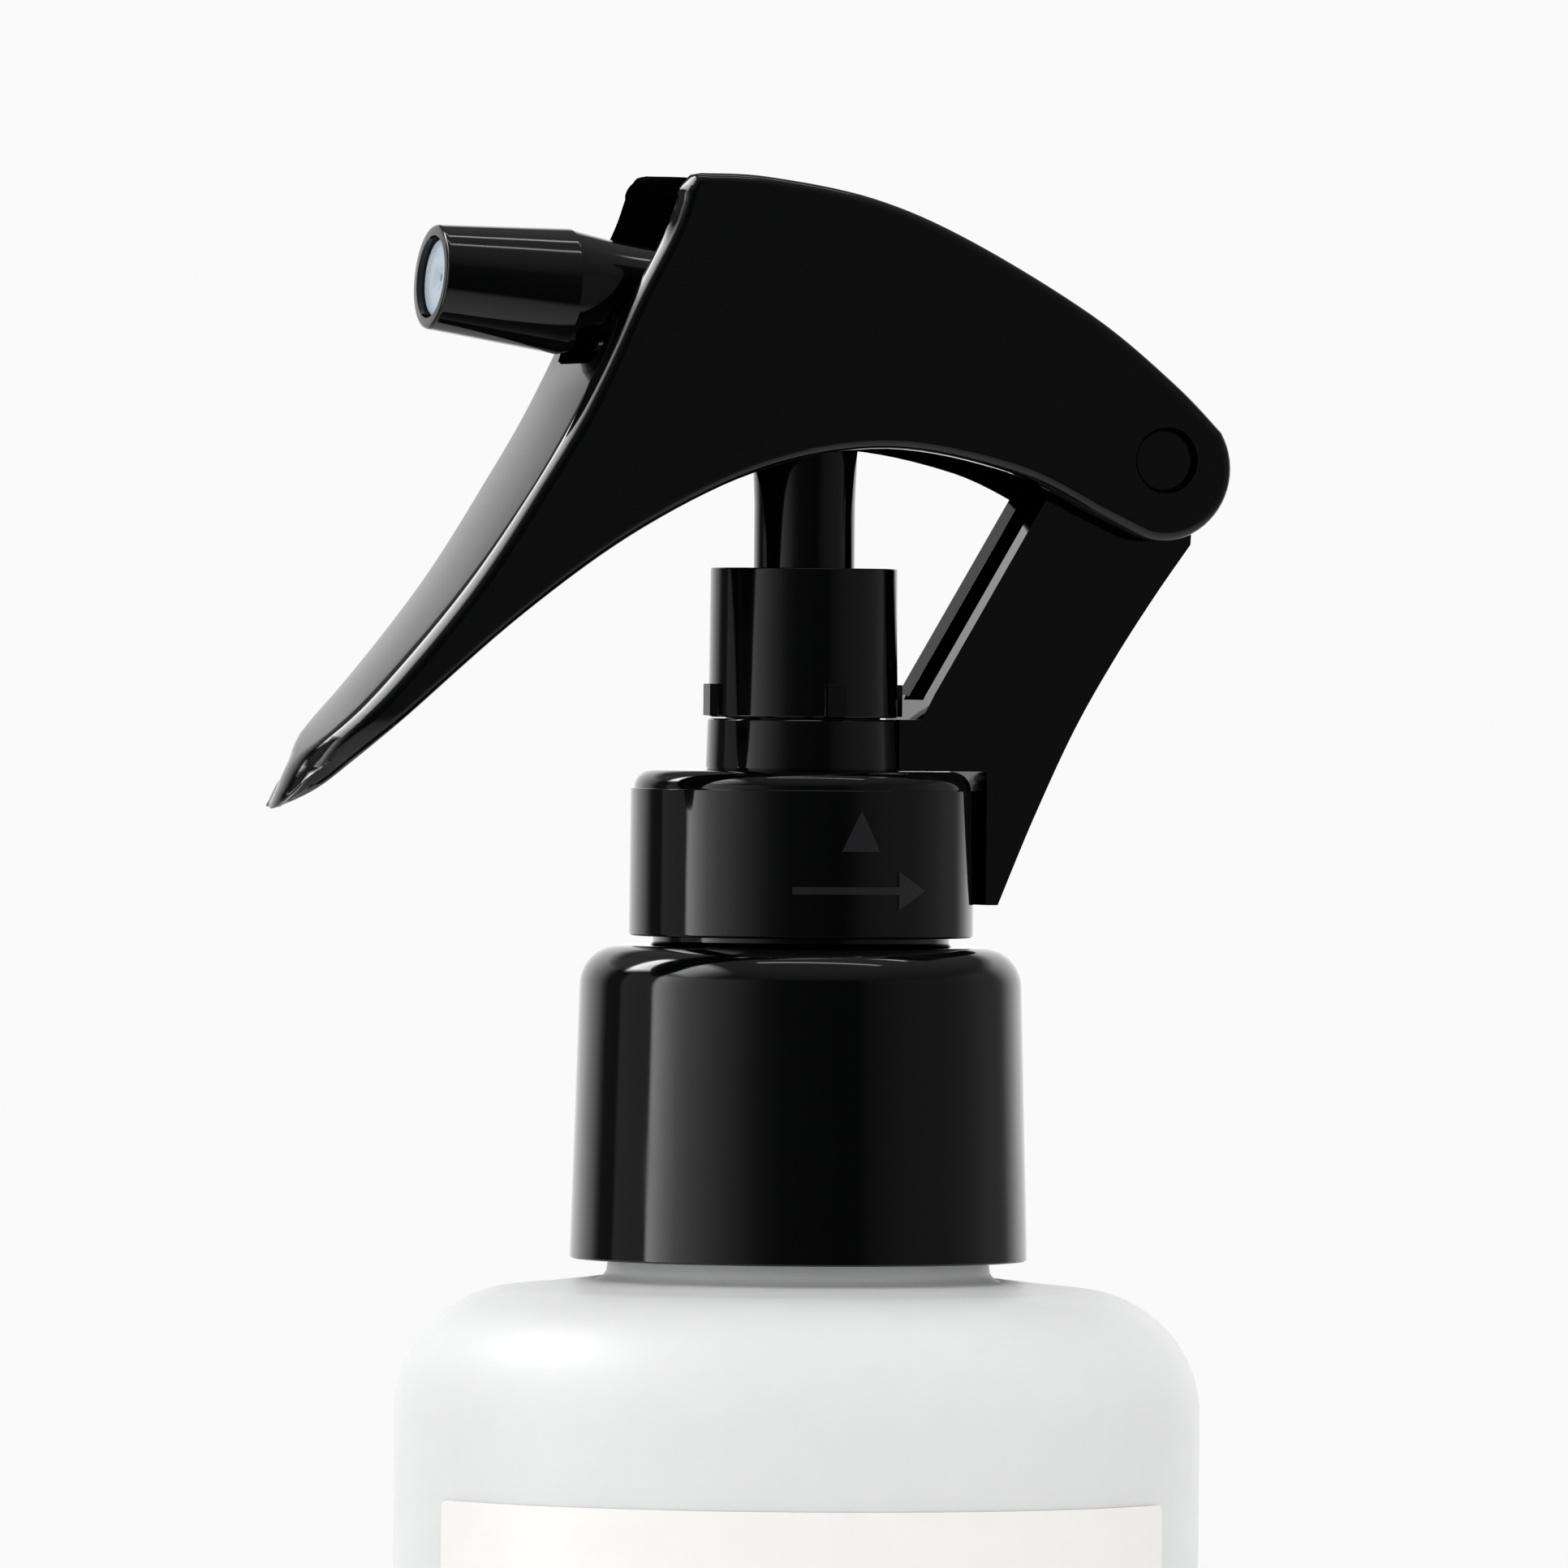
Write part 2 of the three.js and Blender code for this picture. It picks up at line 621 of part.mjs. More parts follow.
function actuator() {
  const [low, high] = ACTUATOR_Z;
  const stem = solid(
    revolve([
      [0, low],
      [ACTUATOR_R, low],
      [ACTUATOR_R, 183],
      [ACTUATOR_R + 0.15, 187],
      [ACTUATOR_R + 0.15, high - 1.5],
      [ACTUATOR_R - 1.35, high],
      [0, high],
    ], ROUND_SMALL + 4),
  );
  const reach = NOZZLE_REAR.x - NOZZLE_FRONT.x + 1;
  const tube = revolve([
    [0, 0],
    [NOZZLE_R.front - 0.3, 0],
    [NOZZLE_R.front, 0.3],
    [NOZZLE_R.shoulder, NOZZLE_S.shoulder],
    [NOZZLE_R.neck, NOZZLE_S.neck],
    [NOZZLE_R.tube, NOZZLE_S.tube],
    [ACTUATOR_R, reach],
    [0, reach],
  ].reverse().map(([r, s]) => [r, -s]), ROUND_SMALL + 4);
  tube.rotateX(Math.PI);
  const cavity = rod(NOZZLE_CAVITY.r + FIT, -1, NOZZLE_CAVITY.depth);
  const passage = rod(PASSAGE_R, NOZZLE_CAVITY.depth - 1, reach - 1, 14);
  const trunnion = solid(crossRod(TRUNNION.r, TRUNNION.half, 0, TRUNNION.z, 20));
  return geometryOf(
    stem
      .add(solid(towardsNozzle(tube)))
      .add(trunnion)
      .subtract(solid(towardsNozzle(cavity)))
      .subtract(solid(towardsNozzle(passage)))
      .subtract(solid(rod(VALVE_BORE_R, STEM_Z[1], NOZZLE_REAR.z, 20)))
      .subtract(solid(rod(STEM_R + FIT, low - 1, STEM_Z[1] + 0.1))),
  );
}

// Grooved plug behind the insert: liquid runs along its grooves and round its post.
function swirlCore() {
  const [foot, step, front] = [NOZZLE_CAVITY.depth - FIT, 6, 2];
  const core = revolve([[0, front], [2, front], [2, step], [NOZZLE_CAVITY.r - 0.03, step],
    [NOZZLE_CAVITY.r - 0.03, foot], [0, foot]].reverse().map(([r, z]) => [r, -z]), 24);
  core.rotateX(Math.PI);
  let body = solid(core);
  for (let i = 0; i < 3; i++) {
    const groove = box([NOZZLE_CAVITY.r - 0.7, -0.5, step - 1], [NOZZLE_CAVITY.r + 1, 0.5, foot + 1]);
    body = body.subtract(solid(groove.rotateZ((i * TURN) / 3)));
  }
  return geometryOf(body);
}

// Cup-shaped insert with the spray hole in its dished face.
function nozzleInsert() {
  const outerR = NOZZLE_CAVITY.r - 0.05;
  return revolve(
    [
      [0.3, 0.9],
      [1.3, 0.6],
      [outerR - 0.2, 0.6],
      [outerR, 0.8],
      [outerR, 5.9],
      [2.25, 5.9],
      [2.25, 1.9],
      [0.3, 1.9],
    ].reverse().map(([r, z]) => [r, -z]),
    24,
  ).rotateX(Math.PI);
}

// ---------------------------------------------------------------- trigger

function triggerOutline() {
  const { x, z, r, from, to } = TRIGGER_END;
  const shape = polygon(smooth(TRIGGER_TOP));
  shape.absarc(x, z, r, from, to, true);
  smooth(TRIGGER_BOTTOM).forEach(([px, pz]) => shape.lineTo(px, pz));
  smooth(TRIGGER_FRONT).forEach(([px, pz]) => shape.lineTo(px, pz));
  return shape;
}

// The blade seen from the front, taken in by a margin on each side.
function bladeWidth(margin, low) {
  const half = smooth(BLADE_HALF_WIDTHS, 1).map(([y, z]) => [y - margin, Math.max(z, low)]);
  const right = half.filter(([y]) => y > 0.4);
  right.push([TRIGGER_HALF - margin, TRIGGER_TOP[0][1] + 5]);
  const left = right.map(([y, z]) => [-y, z]).reverse();
  return extrudeFront(polygon([...right, ...left]), -FAR, FAR);
}

// Room inside the trigger: under the roof, behind the blade, open below.
function triggerHollow() {
  const roof = shifted(smooth(TRIGGER_TOP), -TRIGGER_WALL).filter(([x]) => x > ROOF_FRONT_X);
  const inReach = ([, z]) => z > BLADE_HOLLOW_Z && z < NOZZLE_GAP_Z;
  const blade = shifted(smooth(TRIGGER_FRONT), -BLADE_WALL).filter(inReach);
  const above = TRIGGER_TOP[0][1] + 5;
  const rear = { inner: HINGE.x + 4.6, outer: HINGE.x + 9, z: HINGE.z + 0.4 };
  return polygon([
    ...roof,
    [rear.inner, rear.z],
    [rear.outer, rear.z],
    [rear.outer, ARM_BACK[0][1]],
    [blade[0][0] + 5, ARM_BACK[0][1]],
    ...blade,
    [blade.at(-1)[0], above],
    [ROOF_FRONT_X, above],
  ]);
}

// The shallow dish of the finger face, in front of the blade and between its rims.
function fingerDish() {
  const inReach = ([, z]) => z > FINGER_FACE_Z && z < NOZZLE_GAP_Z + 0.3;
  const face = shifted(smooth(TRIGGER_FRONT), -BLADE_DISH).filter(inReach);
  return polygon([...face, [-FAR, NOZZLE_GAP_Z], [-FAR, face[0][1]]]);
}

// A forked lug inside one cheek; it holds a trunnion of the actuator.
function fork(side) {
  const reach = TRUNNION.r + FORK.play;
  const across = 2 * TRIGGER_HALF;
  const walls = [ACTUATOR_R + 0.65, TRIGGER_HALF - TRIGGER_WALL + 0.5].map((y) => side * y);
  const [low, high] = walls.sort((a, b) => a - b);
  const lug = box([-FORK.x, low, FORK.z[0]], [FORK.x, high, FORK.z[1]]);
  const slot = box([-FORK.slot, -across, TRUNNION.z - reach], [FORK.slot, across, TRUNNION.z + reach]);
  return solid(lug).subtract(solid(slot));
}

function trigger() {
  const inner = TRIGGER_HALF - TRIGGER_WALL;
  const across = 2 * TRIGGER_HALF;
  const gapTop = TRIGGER_TOP[0][1] + 5;
  const nozzleGap = box([-FAR, -inner, NOZZLE_GAP_Z], [TRIGGER_FRONT.at(-2)[0] + 1.9, inner, gapTop]);
  const notch = crossRod(NOTCH.r, across, 0, 0).rotateZ(Math.PI / 2).scale(1, 1, NOTCH.flatness);
  const hollow = solid(extrudeSide(triggerHollow(), inner));
  const dish = solid(extrudeSide(fingerDish(), TRIGGER_HALF));
  const body = solid(extrudeSide(triggerOutline(), TRIGGER_HALF, 6))
    .intersect(solid(bladeWidth(0, ARM_BACK[0][1])))
    .subtract(hollow.intersect(solid(bladeWidth(TRIGGER_WALL, BLADE_HOLLOW_Z - 1))))
    .subtract(solid(nozzleGap))
    .subtract(solid(notch.translate(TRIGGER_FRONT.at(-4)[0], 0, NOZZLE_GAP_Z)))
    .subtract(dish.intersect(solid(bladeWidth(BLADE_RIM, ARM_BACK[0][1]))));
  return geometryOf(
    body
      .add(fork(-1))
      .add(fork(1))
      .subtract(solid(crossRod(HINGE_HOLE_R, across, HINGE.x, HINGE.z))),
  );
}

// ---------------------------------------------------------------- assembly

const sprayBottle = new THREE.Group();

function piece(name, geometry, finish, parent = sprayBottle) {
  const mesh = new THREE.Mesh(geometry, new THREE.MeshStandardMaterial(finish));
  mesh.name = name;
  parent.add(mesh);
  return mesh;
}

piece("bottle", bottle(), FINISH.frosted);
piece("front_label", frontLabel(), FINISH.label).position.z = LABEL_Z[0];

piece("adapter_gasket", ring(9.6, 16.1, MOUTH_Z + FIT, ADAPTER_TOP_Z - ADAPTER_ROOF - FIT), FINISH.foam);
piece("adapter_cap", adapterCap(), FINISH.black);

piece("neck_gasket", ring(9.4, 11.3, PUMP_MOUTH_Z + FIT, HOUSING_FLANGE.z - FIT), FINISH.foam);
piece("screw_collar", collar(), FINISH.black);

piece("pump_body", pumpBody(), FINISH.black);
piece("column_sleeve", columnSleeve(), FINISH.black);
piece("stem_seal", stemSeal(), FINISH.natural);
piece("pump_housing", pumpHousing(), FINISH.natural);
piece("dip_tube", dipTube(), FINISH.natural);
piece("return_spring", returnSpring(), FINISH.steel);
const seatToBall = 1.79; // height of the ball's centre over the seat's lower edge
piece("inlet_ball", new THREE.SphereGeometry(BALL_R, 12, 8), FINISH.steel).position.z = SEAT.z + seatToBall;

piece("piston", piston(), FINISH.white);
piece("piston_stem", pistonStem(), FINISH.natural);
piece("actuator", actuator(), FINISH.black);
const outletBall = piece("outlet_ball", new THREE.SphereGeometry(VALVE_BALL_R, 12, 8), FINISH.steel);
outletBall.position.z = STEM_Z[1] + 0.71;

const nozzle = new THREE.Group();
nozzle.position.set(NOZZLE_FRONT.x, 0, NOZZLE_FRONT.z);
nozzle.rotation.y = Math.PI / 2 + NOZZLE_TILT;
sprayBottle.add(nozzle);
piece("swirl_core", swirlCore(), FINISH.white, nozzle);
piece("nozzle_insert", nozzleInsert(), FINISH.white, nozzle);

piece("trigger", trigger(), FINISH.black);

export default sprayBottle;
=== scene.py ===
"""Trigger spray bottle: the fine surfaces, materials, stage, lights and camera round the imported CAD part.

Lengths are in millimetres, in the CAD's frame: +Z up, the bottle's axis at the origin, the nozzle towards
-X and the trigger's hinge along Y. MM turns them into Blender's metres where a mesh is made.
"""

import math

import bmesh
import bpy
from mathutils import Matrix, Vector

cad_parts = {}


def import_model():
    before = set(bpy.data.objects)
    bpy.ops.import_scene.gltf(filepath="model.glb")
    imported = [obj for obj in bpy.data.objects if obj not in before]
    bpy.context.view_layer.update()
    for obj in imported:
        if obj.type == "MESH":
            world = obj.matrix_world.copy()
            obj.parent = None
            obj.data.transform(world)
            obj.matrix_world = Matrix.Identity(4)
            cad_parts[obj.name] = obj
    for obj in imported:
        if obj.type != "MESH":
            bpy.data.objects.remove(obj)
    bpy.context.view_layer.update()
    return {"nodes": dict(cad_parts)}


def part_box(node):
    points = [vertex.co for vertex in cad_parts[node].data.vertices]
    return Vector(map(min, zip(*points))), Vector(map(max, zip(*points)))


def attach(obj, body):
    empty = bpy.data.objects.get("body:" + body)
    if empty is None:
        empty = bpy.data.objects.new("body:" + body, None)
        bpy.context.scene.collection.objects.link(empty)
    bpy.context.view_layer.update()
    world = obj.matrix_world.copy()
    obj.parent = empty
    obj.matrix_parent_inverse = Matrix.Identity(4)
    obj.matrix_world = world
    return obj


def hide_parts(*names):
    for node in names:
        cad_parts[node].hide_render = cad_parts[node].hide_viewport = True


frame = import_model()

MM = 0.001
SIDES = 144  # sides of a large round piece

# ---------------------------------------------------------------- sizes, from the frame where it holds them


def box_mm(node):
    low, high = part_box(node)
    return low / MM, high / MM


_, BOTTLE_HIGH = box_mm("bottle")
LABEL_LOW, LABEL_HIGH = box_mm("front_label")
ADAPTER_LOW, ADAPTER_HIGH = box_mm("adapter_cap")
COLLAR_LOW, COLLAR_HIGH = box_mm("screw_collar")
_, TRIGGER_HIGH = box_mm("trigger")
ACTUATOR_LOW, _ = box_mm("actuator")

# Bottle
BOTTLE_R = BOTTLE_HIGH.x
BOTTLE_WALL = 1.3
BASE_WALL = 1.8
BASE_RISE = 0.8  # the base's middle stands clear of the table
HEEL_R = 3
SHOULDER_R = 10.15
SHOULDER_Z = 109.4
SHOULDER_EDGE = (16.85, 120.2)  # crease between shoulder and neck, (radius, z)
NECK_Z = ADAPTER_LOW.z
MOUTH_Z = BOTTLE_HIGH.z
NECK_BORE_R = 13
BOTTLE_THREAD = {"root": 15.1, "crest": 16.2, "cap": 16.5, "pitch": 25.4 / 6, "top": 139.6}
PUMP_THREAD = {"root": 10.9, "crest": 11.95, "cap": 12.2, "pitch": 25.4 / 8, "top": 155.6}
THREAD_TURNS = 1.5

# Label
LABEL_R = BOTTLE_R + 0.08
LABEL_THICK = 0.15
LABEL_WIDTH = 70.4  # along the arc
LABEL_ANGLE = math.radians(-108.3)  # the way its middle faces
LABEL_CORNER = 0.3

# Adapter cap
ADAPTER_R = (18.585, 17.95)  # at its rim and under its top fillet
ADAPTER_TOP_Z = 147.2
ADAPTER_FILLET = 3.3
ADAPTER_ROOF = 2
ADAPTER_BORE_R = 9.2
ADAPTER_LAND_R = 12.05
PUMP_MOUTH_Z = ADAPTER_HIGH.z

# Collar
COLLAR_R = 13.98
COLLAR_STEP = (13.66, 159.9)  # small ledge under the rounded top, (radius, z)
COLLAR_WALL = 1.2
COLLAR_HOLE_R = 7.98

# Raised marks on the collar's front: stretches of (along, lower edge, upper edge)
MARK_RISE = 0.12
MARK_ROOT_R = 13.8
MARK_STEPS = 8
COLLAR_MARKS = {
    "pointer": [(-1.6, 155, 155.05), (0, 155, 158.3), (1.6, 155, 155.05)],
    "turn_bar": [(-5.6, 151.55, 152.15), (3.4, 151.55, 152.15)],
    "turn_head": [(3.4, 150.3, 153.4), (6, 151.82, 151.88)],
}

# Pump body
RING_R = (7.86, 7.74)
RING_TOP_Z = 165.6
RING_BORE_R = 6.35
RING_FLOOR_Z = (161.3, 162.6)
FLANGE_R = 10.9
FLANGE_Z = (159.05, 160.12)
SEAL_R = 5.25
ARM_HALF = 4.3
ARM_WALL = 2
ARM_FRONT_SLOPE = 0.27  # how far the far wall's front leans in
ARM_BACK_WALL = 1.4
ARM_ROOT_X = 6.75
TAIL_X = 14.35
STEM_BORE_R = 2.68

# Column sleeve
COLUMN_R = (7.67, 7.6)
COLUMN_Z = (165.7, 177.8)
COLUMN_TOP = 1.2
COLUMN_BORE_R = 5.6
COLUMN_PLUG = (6.27, 163)
LUG = {"r": 8.3, "width": 1.7, "z": (165.8, 168.4), "count": 4}

# Actuator and nozzle: the profile is (radius, distance behind the front), a bore (radius, low, high)
ACTUATOR_R = (4.1, 4.25)
ACTUATOR_Z = (ACTUATOR_LOW.z, 201.6)
NOZZLE_FRONT = Vector((-32.2, 0, 200.95))
NOZZLE_REAR = Vector((0, 0, 198))
NOZZLE_TILT = math.atan2(NOZZLE_FRONT.z - NOZZLE_REAR.z, NOZZLE_REAR.x - NOZZLE_FRONT.x)
NOZZLE_FACE_R = 4.25
NOZZLE_RIM = 0.3
NOZZLE_PROFILE = [(5.1, 11.15), (5.1, 11.3), (5.02, 11.5), (4.55, 14.8), (4.3, 18), (4.25, 20)]
NOZZLE_CAVITY = (3.35, 10)
NOZZLE_PASSAGE_R = 1.5
VALVE_BORE = (1.95, 180.9, 198)
STEM_SOCKET = (2.65, 181.1)
TRUNNION = {"z": 192, "r": 1.4, "half": 6.1}

# Trigger
HINGE = (28.48, 186.82)  # (x, z)
TRIGGER_HALF = TRIGGER_HIGH.y
TRIGGER_WALL = 1.3
HINGE_HOLE_R = 2.7
PIN = {"r": 2.62, "half": 6.9}
HINGE_BOSS = {"r": 3.4, "half": 6.1}
HINGE_HEAD_R = 3.8
ROOF_FRONT_X = -8
BLADE_WALL = 1.7
BLADE_HOLLOW_Z = (165, 194.8)
PAST_TRIGGER_Z = (150, 214)
PAST_CHEEKS_Y = 20
FORK = {"x": 5.2, "z": (188.4, 197), "slot": 3.4, "play": 0.3}

# The trigger's front rolls broadly, then tightly, into its cheeks; rows are (z, radius) and (z, share)
TRIGGER_EDGE = 0.85
FRONT_EDGE = 0.9
FRONT_FACING = (0.2, 0.6)  # how far forward a point faces to count as front, in part and in full
FRONT_BREAK = math.radians(28)  # where the broad round turns into the tight one
FRONT_ROUND = [
    (160, 9), (162, 9), (164, 4.6), (166, 3.7), (171, 3.5), (176.5, 2.9), (184.5, 1.9), (190, 2.7),
    (203, 3.2), (206, 4.6),
]
FRONT_CROWN = [(160, 0), (168, 1), (192, 1), (196, 0)]
BLADE_CROWN = 0.4
TIP_ROOM = (0.1, 0.22)  # deepest inset at the tip, and how it grows away from it
EDGE_TURNS = (0, 4, 8, 12, 16, 20, 24, 28, 38, 48, 58, 68, 78, 90)
FACE_STEPS = 6
TAPER_STEPS = 4

# Right half of the nozzle's slot, (y, z), and the stretch of x that it is cut through
NOZZLE_SLOT = [(3, 194.1), (4.2, 194.35), (4.75, 195.2), (4.75, 205.2), (5.46, 207.26), (6.4, 208.3)]
NOZZLE_SLOT_X = (-40, -10.5)

# Side outlines, (x, z)
TRIGGER_TOP = [
    (-11.6, 209.5), (-5.9, 209.3), (3.15, 207.7), (11.6, 204.4), (22.2, 198.5), (29.3, 193.1),
    (33.4, 189.2),
]
TRIGGER_END = {"x": 28.45, "z": 186.1, "r": 5.85, "from": 32, "to": -112}
TRIGGER_BOTTOM = [
    (22.3, 182.5), (15.25, 185.7), (4.7, 187.5), (-5.7, 185.8), (-16.1, 180.95), (-26.2, 173.9),
    (-36, 165.4), (-41.8, 160.1), (-45.3, 158.1),
]
TRIGGER_FRONT = [
    (-44.75, 159.4), (-42.7, 162.9), (-37.3, 168.4), (-30.75, 176.25), (-25.4, 184.1), (-21.2, 191.2),
    (-17.6, 198.9), (-14.9, 204.1), (-13.6, 207.6),
]
TRIGGER_CORNER = {"x": -11.7, "z": 207.5, "r": 1.95, "from": 170, "to": 100}
ARM_FRONT = [(20.6, 185.7), (9.75, 167.6), (8.7, RING_TOP_Z)]
ARM_BACK = [(15.4, 150.6), (18.4, 157.55), (21.9, 164.8), (25.4, 170.7), (28.9, 175.9), (31.9, 180)]
ARM_FLOOR_Z = 167.2

# Half width of the trigger by height, (z, half), from the tip upwards
BLADE_WIDTHS = [
    (158.1, 1.6), (159.7, 3.2), (161.5, 4.2), (163.5, 5.5), (165.8, 6.4), (171, 6.95), (176.5, 7.25),
    (184, 7.55), (190, TRIGGER_HALF),
]

# ---------------------------------------------------------------- outlines


def arc(a, b, r, start, end, steps=8):
    """Points of an arc about (a, b), between two directions in degrees."""
    angles = [math.radians(start + (end - start) * i / steps) for i in range(steps + 1)]
    return [(a + r * math.cos(t), b + r * math.sin(t)) for t in angles]


def spline(points, steps=8):
    """Points of a smooth curve through a few given ones."""
    line = [Vector(p) for p in points]
    line = [line[0], *line, line[-1]]
    made = []
    for p0, p1, p2, p3 in zip(line, line[1:], line[2:], line[3:]):
        v1, v2 = (p2 - p0) / 2, (p3 - p1) / 2
        for i in range(steps):
            t = i / steps
            point = (2 * (p1 - p2) + v1 + v2) * t**3 + (3 * (p2 - p1) - 2 * v1 - v2) * t**2 + v1 * t + p1
            made.append(tuple(point))
    return [*made, tuple(points[-1])]


def shifted(points, distance):
    """An open outline moved sideways, to the left of its direction."""
    moved = []
    for i, (a, b) in enumerate(points):
        before, after = Vector(points[max(i - 1, 0)]), Vector(points[min(i + 1, len(points) - 1)])
        along = (after - before).normalized()
        moved.append((a - along.y * distance, b + along.x * distance))
    return moved


def rounded(points, steps=5):
    """A closed outline whose corners given as (a, b, radius) are rounded."""
    made = []
    for i, (a, b, *radius) in enumerate(points):
        if not radius:
            made.append((a, b))
            continue
        here = Vector((a, b))
        back = (Vector(points[i - 1][:2]) - here).normalized()
        ahead = (Vector(points[(i + 1) % len(points)][:2]) - here).normalized()
        half = back.angle(ahead) / 2
        reach = radius[0] / math.tan(half)
        centre = here + (back + ahead).normalized() * (radius[0] / math.sin(half))
        start = (here + back * reach - centre).normalized()
        end = (here + ahead * reach - centre).normalized()
        for k in range(steps + 1):
            made.append(tuple(centre + start.slerp(end, k / steps).normalized() * radius[0]))
    return made


def counter_clockwise(outline):
    area = sum(a[0] * b[1] - b[0] * a[1] for a, b in zip(outline, outline[1:] + outline[:1]))
    return outline if area > 0 else outline[::-1]


def inset(outline, distance):
    """A closed counter-clockwise outline moved inwards."""
    made = []
    count = len(outline)
    for i, point in enumerate(outline):
        here = Vector(point)
        before = (here - Vector(outline[i - 1])).normalized()
        after = (Vector(outline[(i + 1) % count]) - here).normalized()
        normal = Vector((-before.y - after.y, before.x + after.x)).normalized()
        stretch = max(0.5, normal.dot(Vector((-before.y, before.x))))
        made.append(tuple(here + normal * distance / stretch))
    return made


# ---------------------------------------------------------------- meshes


def mesh_object(name, verts, faces, matrix=None):
    mesh = bpy.data.meshes.new(name)
    mesh.from_pydata([tuple(Vector(v) * MM) for v in verts], [], faces)
    made = bmesh.new()
    made.from_mesh(mesh)
    bmesh.ops.remove_doubles(made, verts=made.verts, dist=1e-7)
    bmesh.ops.dissolve_degenerate(made, edges=made.edges, dist=1e-7)
    bmesh.ops.recalc_face_normals(made, faces=made.faces)
    made.to_mesh(mesh)
    made.free()
    if matrix:
        mesh.transform(matrix)
    obj = bpy.data.objects.new(name, mesh)
    bpy.context.scene.collection.objects.link(obj)
    return obj


def revolve(name, outline, sides=SIDES, matrix=None):
    """Revolves a closed (radius, z) outline about Z."""
    verts, rings = [], []
    for r, z in outline:
        rings.append(len(verts))
        for i in range(sides):
            turn = math.tau * i / sides
            verts.append((r * math.cos(turn), r * math.sin(turn), z))
    faces = []
    for a, b in zip(rings, rings[1:] + rings[:1]):
        for i in range(sides):
            j = (i + 1) % sides
            faces.append((a + i, a + j, b + j, b + i))
    return mesh_object(name, verts, faces, matrix)


def skinned(name, rows):
    """A body from rings of points along Y, each ring joined to the next, with both ends closed."""
    count = len(rows[0])
    verts = [point for row in rows for point in row]
    faces = [tuple(range(count)), tuple(range(len(verts) - count, len(verts)))]
    for a in range(0, len(verts) - count, count):
        b = a + count
        faces += [(a + i, a + (i + 1) % count, b + (i + 1) % count, b + i) for i in range(count)]
    return mesh_object(name, verts, faces)


def slab(name, outline, half, edge=0.0):
    """Extrudes an (x, z) outline along Y, the same way on both sides of its middle, with rounded edges."""
    outline = counter_clockwise(outline)
    levels = [(half, 0.0)]
    if edge:
        turns = [math.pi / 2 * k / 3 for k in range(4)]
        levels = [(half - edge + edge * math.sin(t), edge * (1 - math.cos(t))) for t in turns]
    levels = [(-y, d) for y, d in reversed(levels)] + levels
    return skinned(name, [[(x, y, z) for x, z in (inset(outline, d) if d else outline)] for y, d in levels])


def block(name, low, high):
    corners = [(x, y, z) for x in (low[0], high[0]) for y in (low[1], high[1]) for z in (low[2], high[2])]
    faces = [(0, 1, 3, 2), (4, 5, 7, 6), (0, 1, 5, 4), (2, 3, 7, 6), (0, 2, 6, 4), (1, 3, 7, 5)]
    return mesh_object(name, corners, faces)


def cross_rod(name, r, half, x, z, sides=64, edge=0.0):
    return slab(name, arc(x, z, r, 0, 360, sides)[:-1], half, edge)


def bake(obj):
    """Takes the modifiers' result as the object's own mesh."""
    shown = obj.evaluated_get(bpy.context.evaluated_depsgraph_get())
    mesh = bpy.data.meshes.new_from_object(shown)
    obj.modifiers.clear()
    obj.data = mesh
    return obj


def combine(target, how, *tools):
    """Joins, cuts or intersects with other closed meshes, which are used up."""
    for tool in tools:
        step = target.modifiers.new(how, "BOOLEAN")
        step.operation = how
        step.solver = "EXACT"
        step.object = tool
        bpy.context.view_layer.update()
        bake(target)
        bpy.data.objects.remove(tool)
    return target


def cut(target, *tools):
    return combine(target, "DIFFERENCE", *tools)


def join(target, *tools):
    return combine(target, "UNION", *tools)


def soften(obj, width):
    """Rounds the sharp edges that the cuts left."""
    step = obj.modifiers.new("edges", "BEVEL")
    step.width = width * MM
    step.segments = 2
    step.limit_method = "ANGLE"
    step.angle_limit = math.radians(40)
    step.use_clamp_overlap = True
    step.miter_outer = "MITER_ARC"
    bpy.context.view_layer.update()
    return bake(obj)


def shade(obj):
    obj.data.shade_smooth()
    obj.data.set_sharp_from_angle(angle=math.radians(35))
    weights = obj.modifiers.new("flat faces stay flat", "WEIGHTED_NORMAL")
    weights.keep_sharp = True
    return obj


def place(obj, body, slot, material, *replaced):
    """Gives a finished piece its material, the body it rides and the CAD nodes it stands for."""
    obj.data.materials.clear()
    obj.data.materials.append(material)
    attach(obj, body)
    if replaced:
        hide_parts(*replaced)
    return obj


def thread_ridge(name, base_r, crest_r, base_width, crest_width, pitch, top):
    """A thread's ridge, wound down a right-hand helix and thinning at both ends."""
    steps = 96
    verts, faces = [], []
    for i in range(steps + 1):
        along = THREAD_TURNS * math.tau * i / steps
        to_end = min(along, THREAD_TURNS * math.tau - along)
        height = min(1, 0.2 + to_end / 0.5)
        z = top - pitch * along / math.tau
        crest = base_r + (crest_r - base_r) * height
        corners = [(base_r, -base_width), (crest, -crest_width), (crest, crest_width), (base_r, base_width)]
        for r, lift in corners:
            verts.append((r * math.cos(-along), r * math.sin(-along), z + lift / 2))
    for a in range(0, 4 * steps, 4):
        faces += [(a + k, a + (k + 1) % 4, a + 4 + (k + 1) % 4, a + 4 + k) for k in range(4)]
    faces += [(0, 1, 2, 3), (4 * steps, 4 * steps + 1, 4 * steps + 2, 4 * steps + 3)]
    return mesh_object(name, verts, faces)


def neck_thread(name, root, crest, pitch, top, **_):
    return thread_ridge(name, root - 0.3, crest, 1.6, 0.7, pitch, top)


def cap_thread(name, crest, cap, pitch, top, **_):
    return thread_ridge(name, cap + 0.3, crest - 0.75, 1.3, 0.5, pitch, top - 1.1)


# ---------------------------------------------------------------- materials


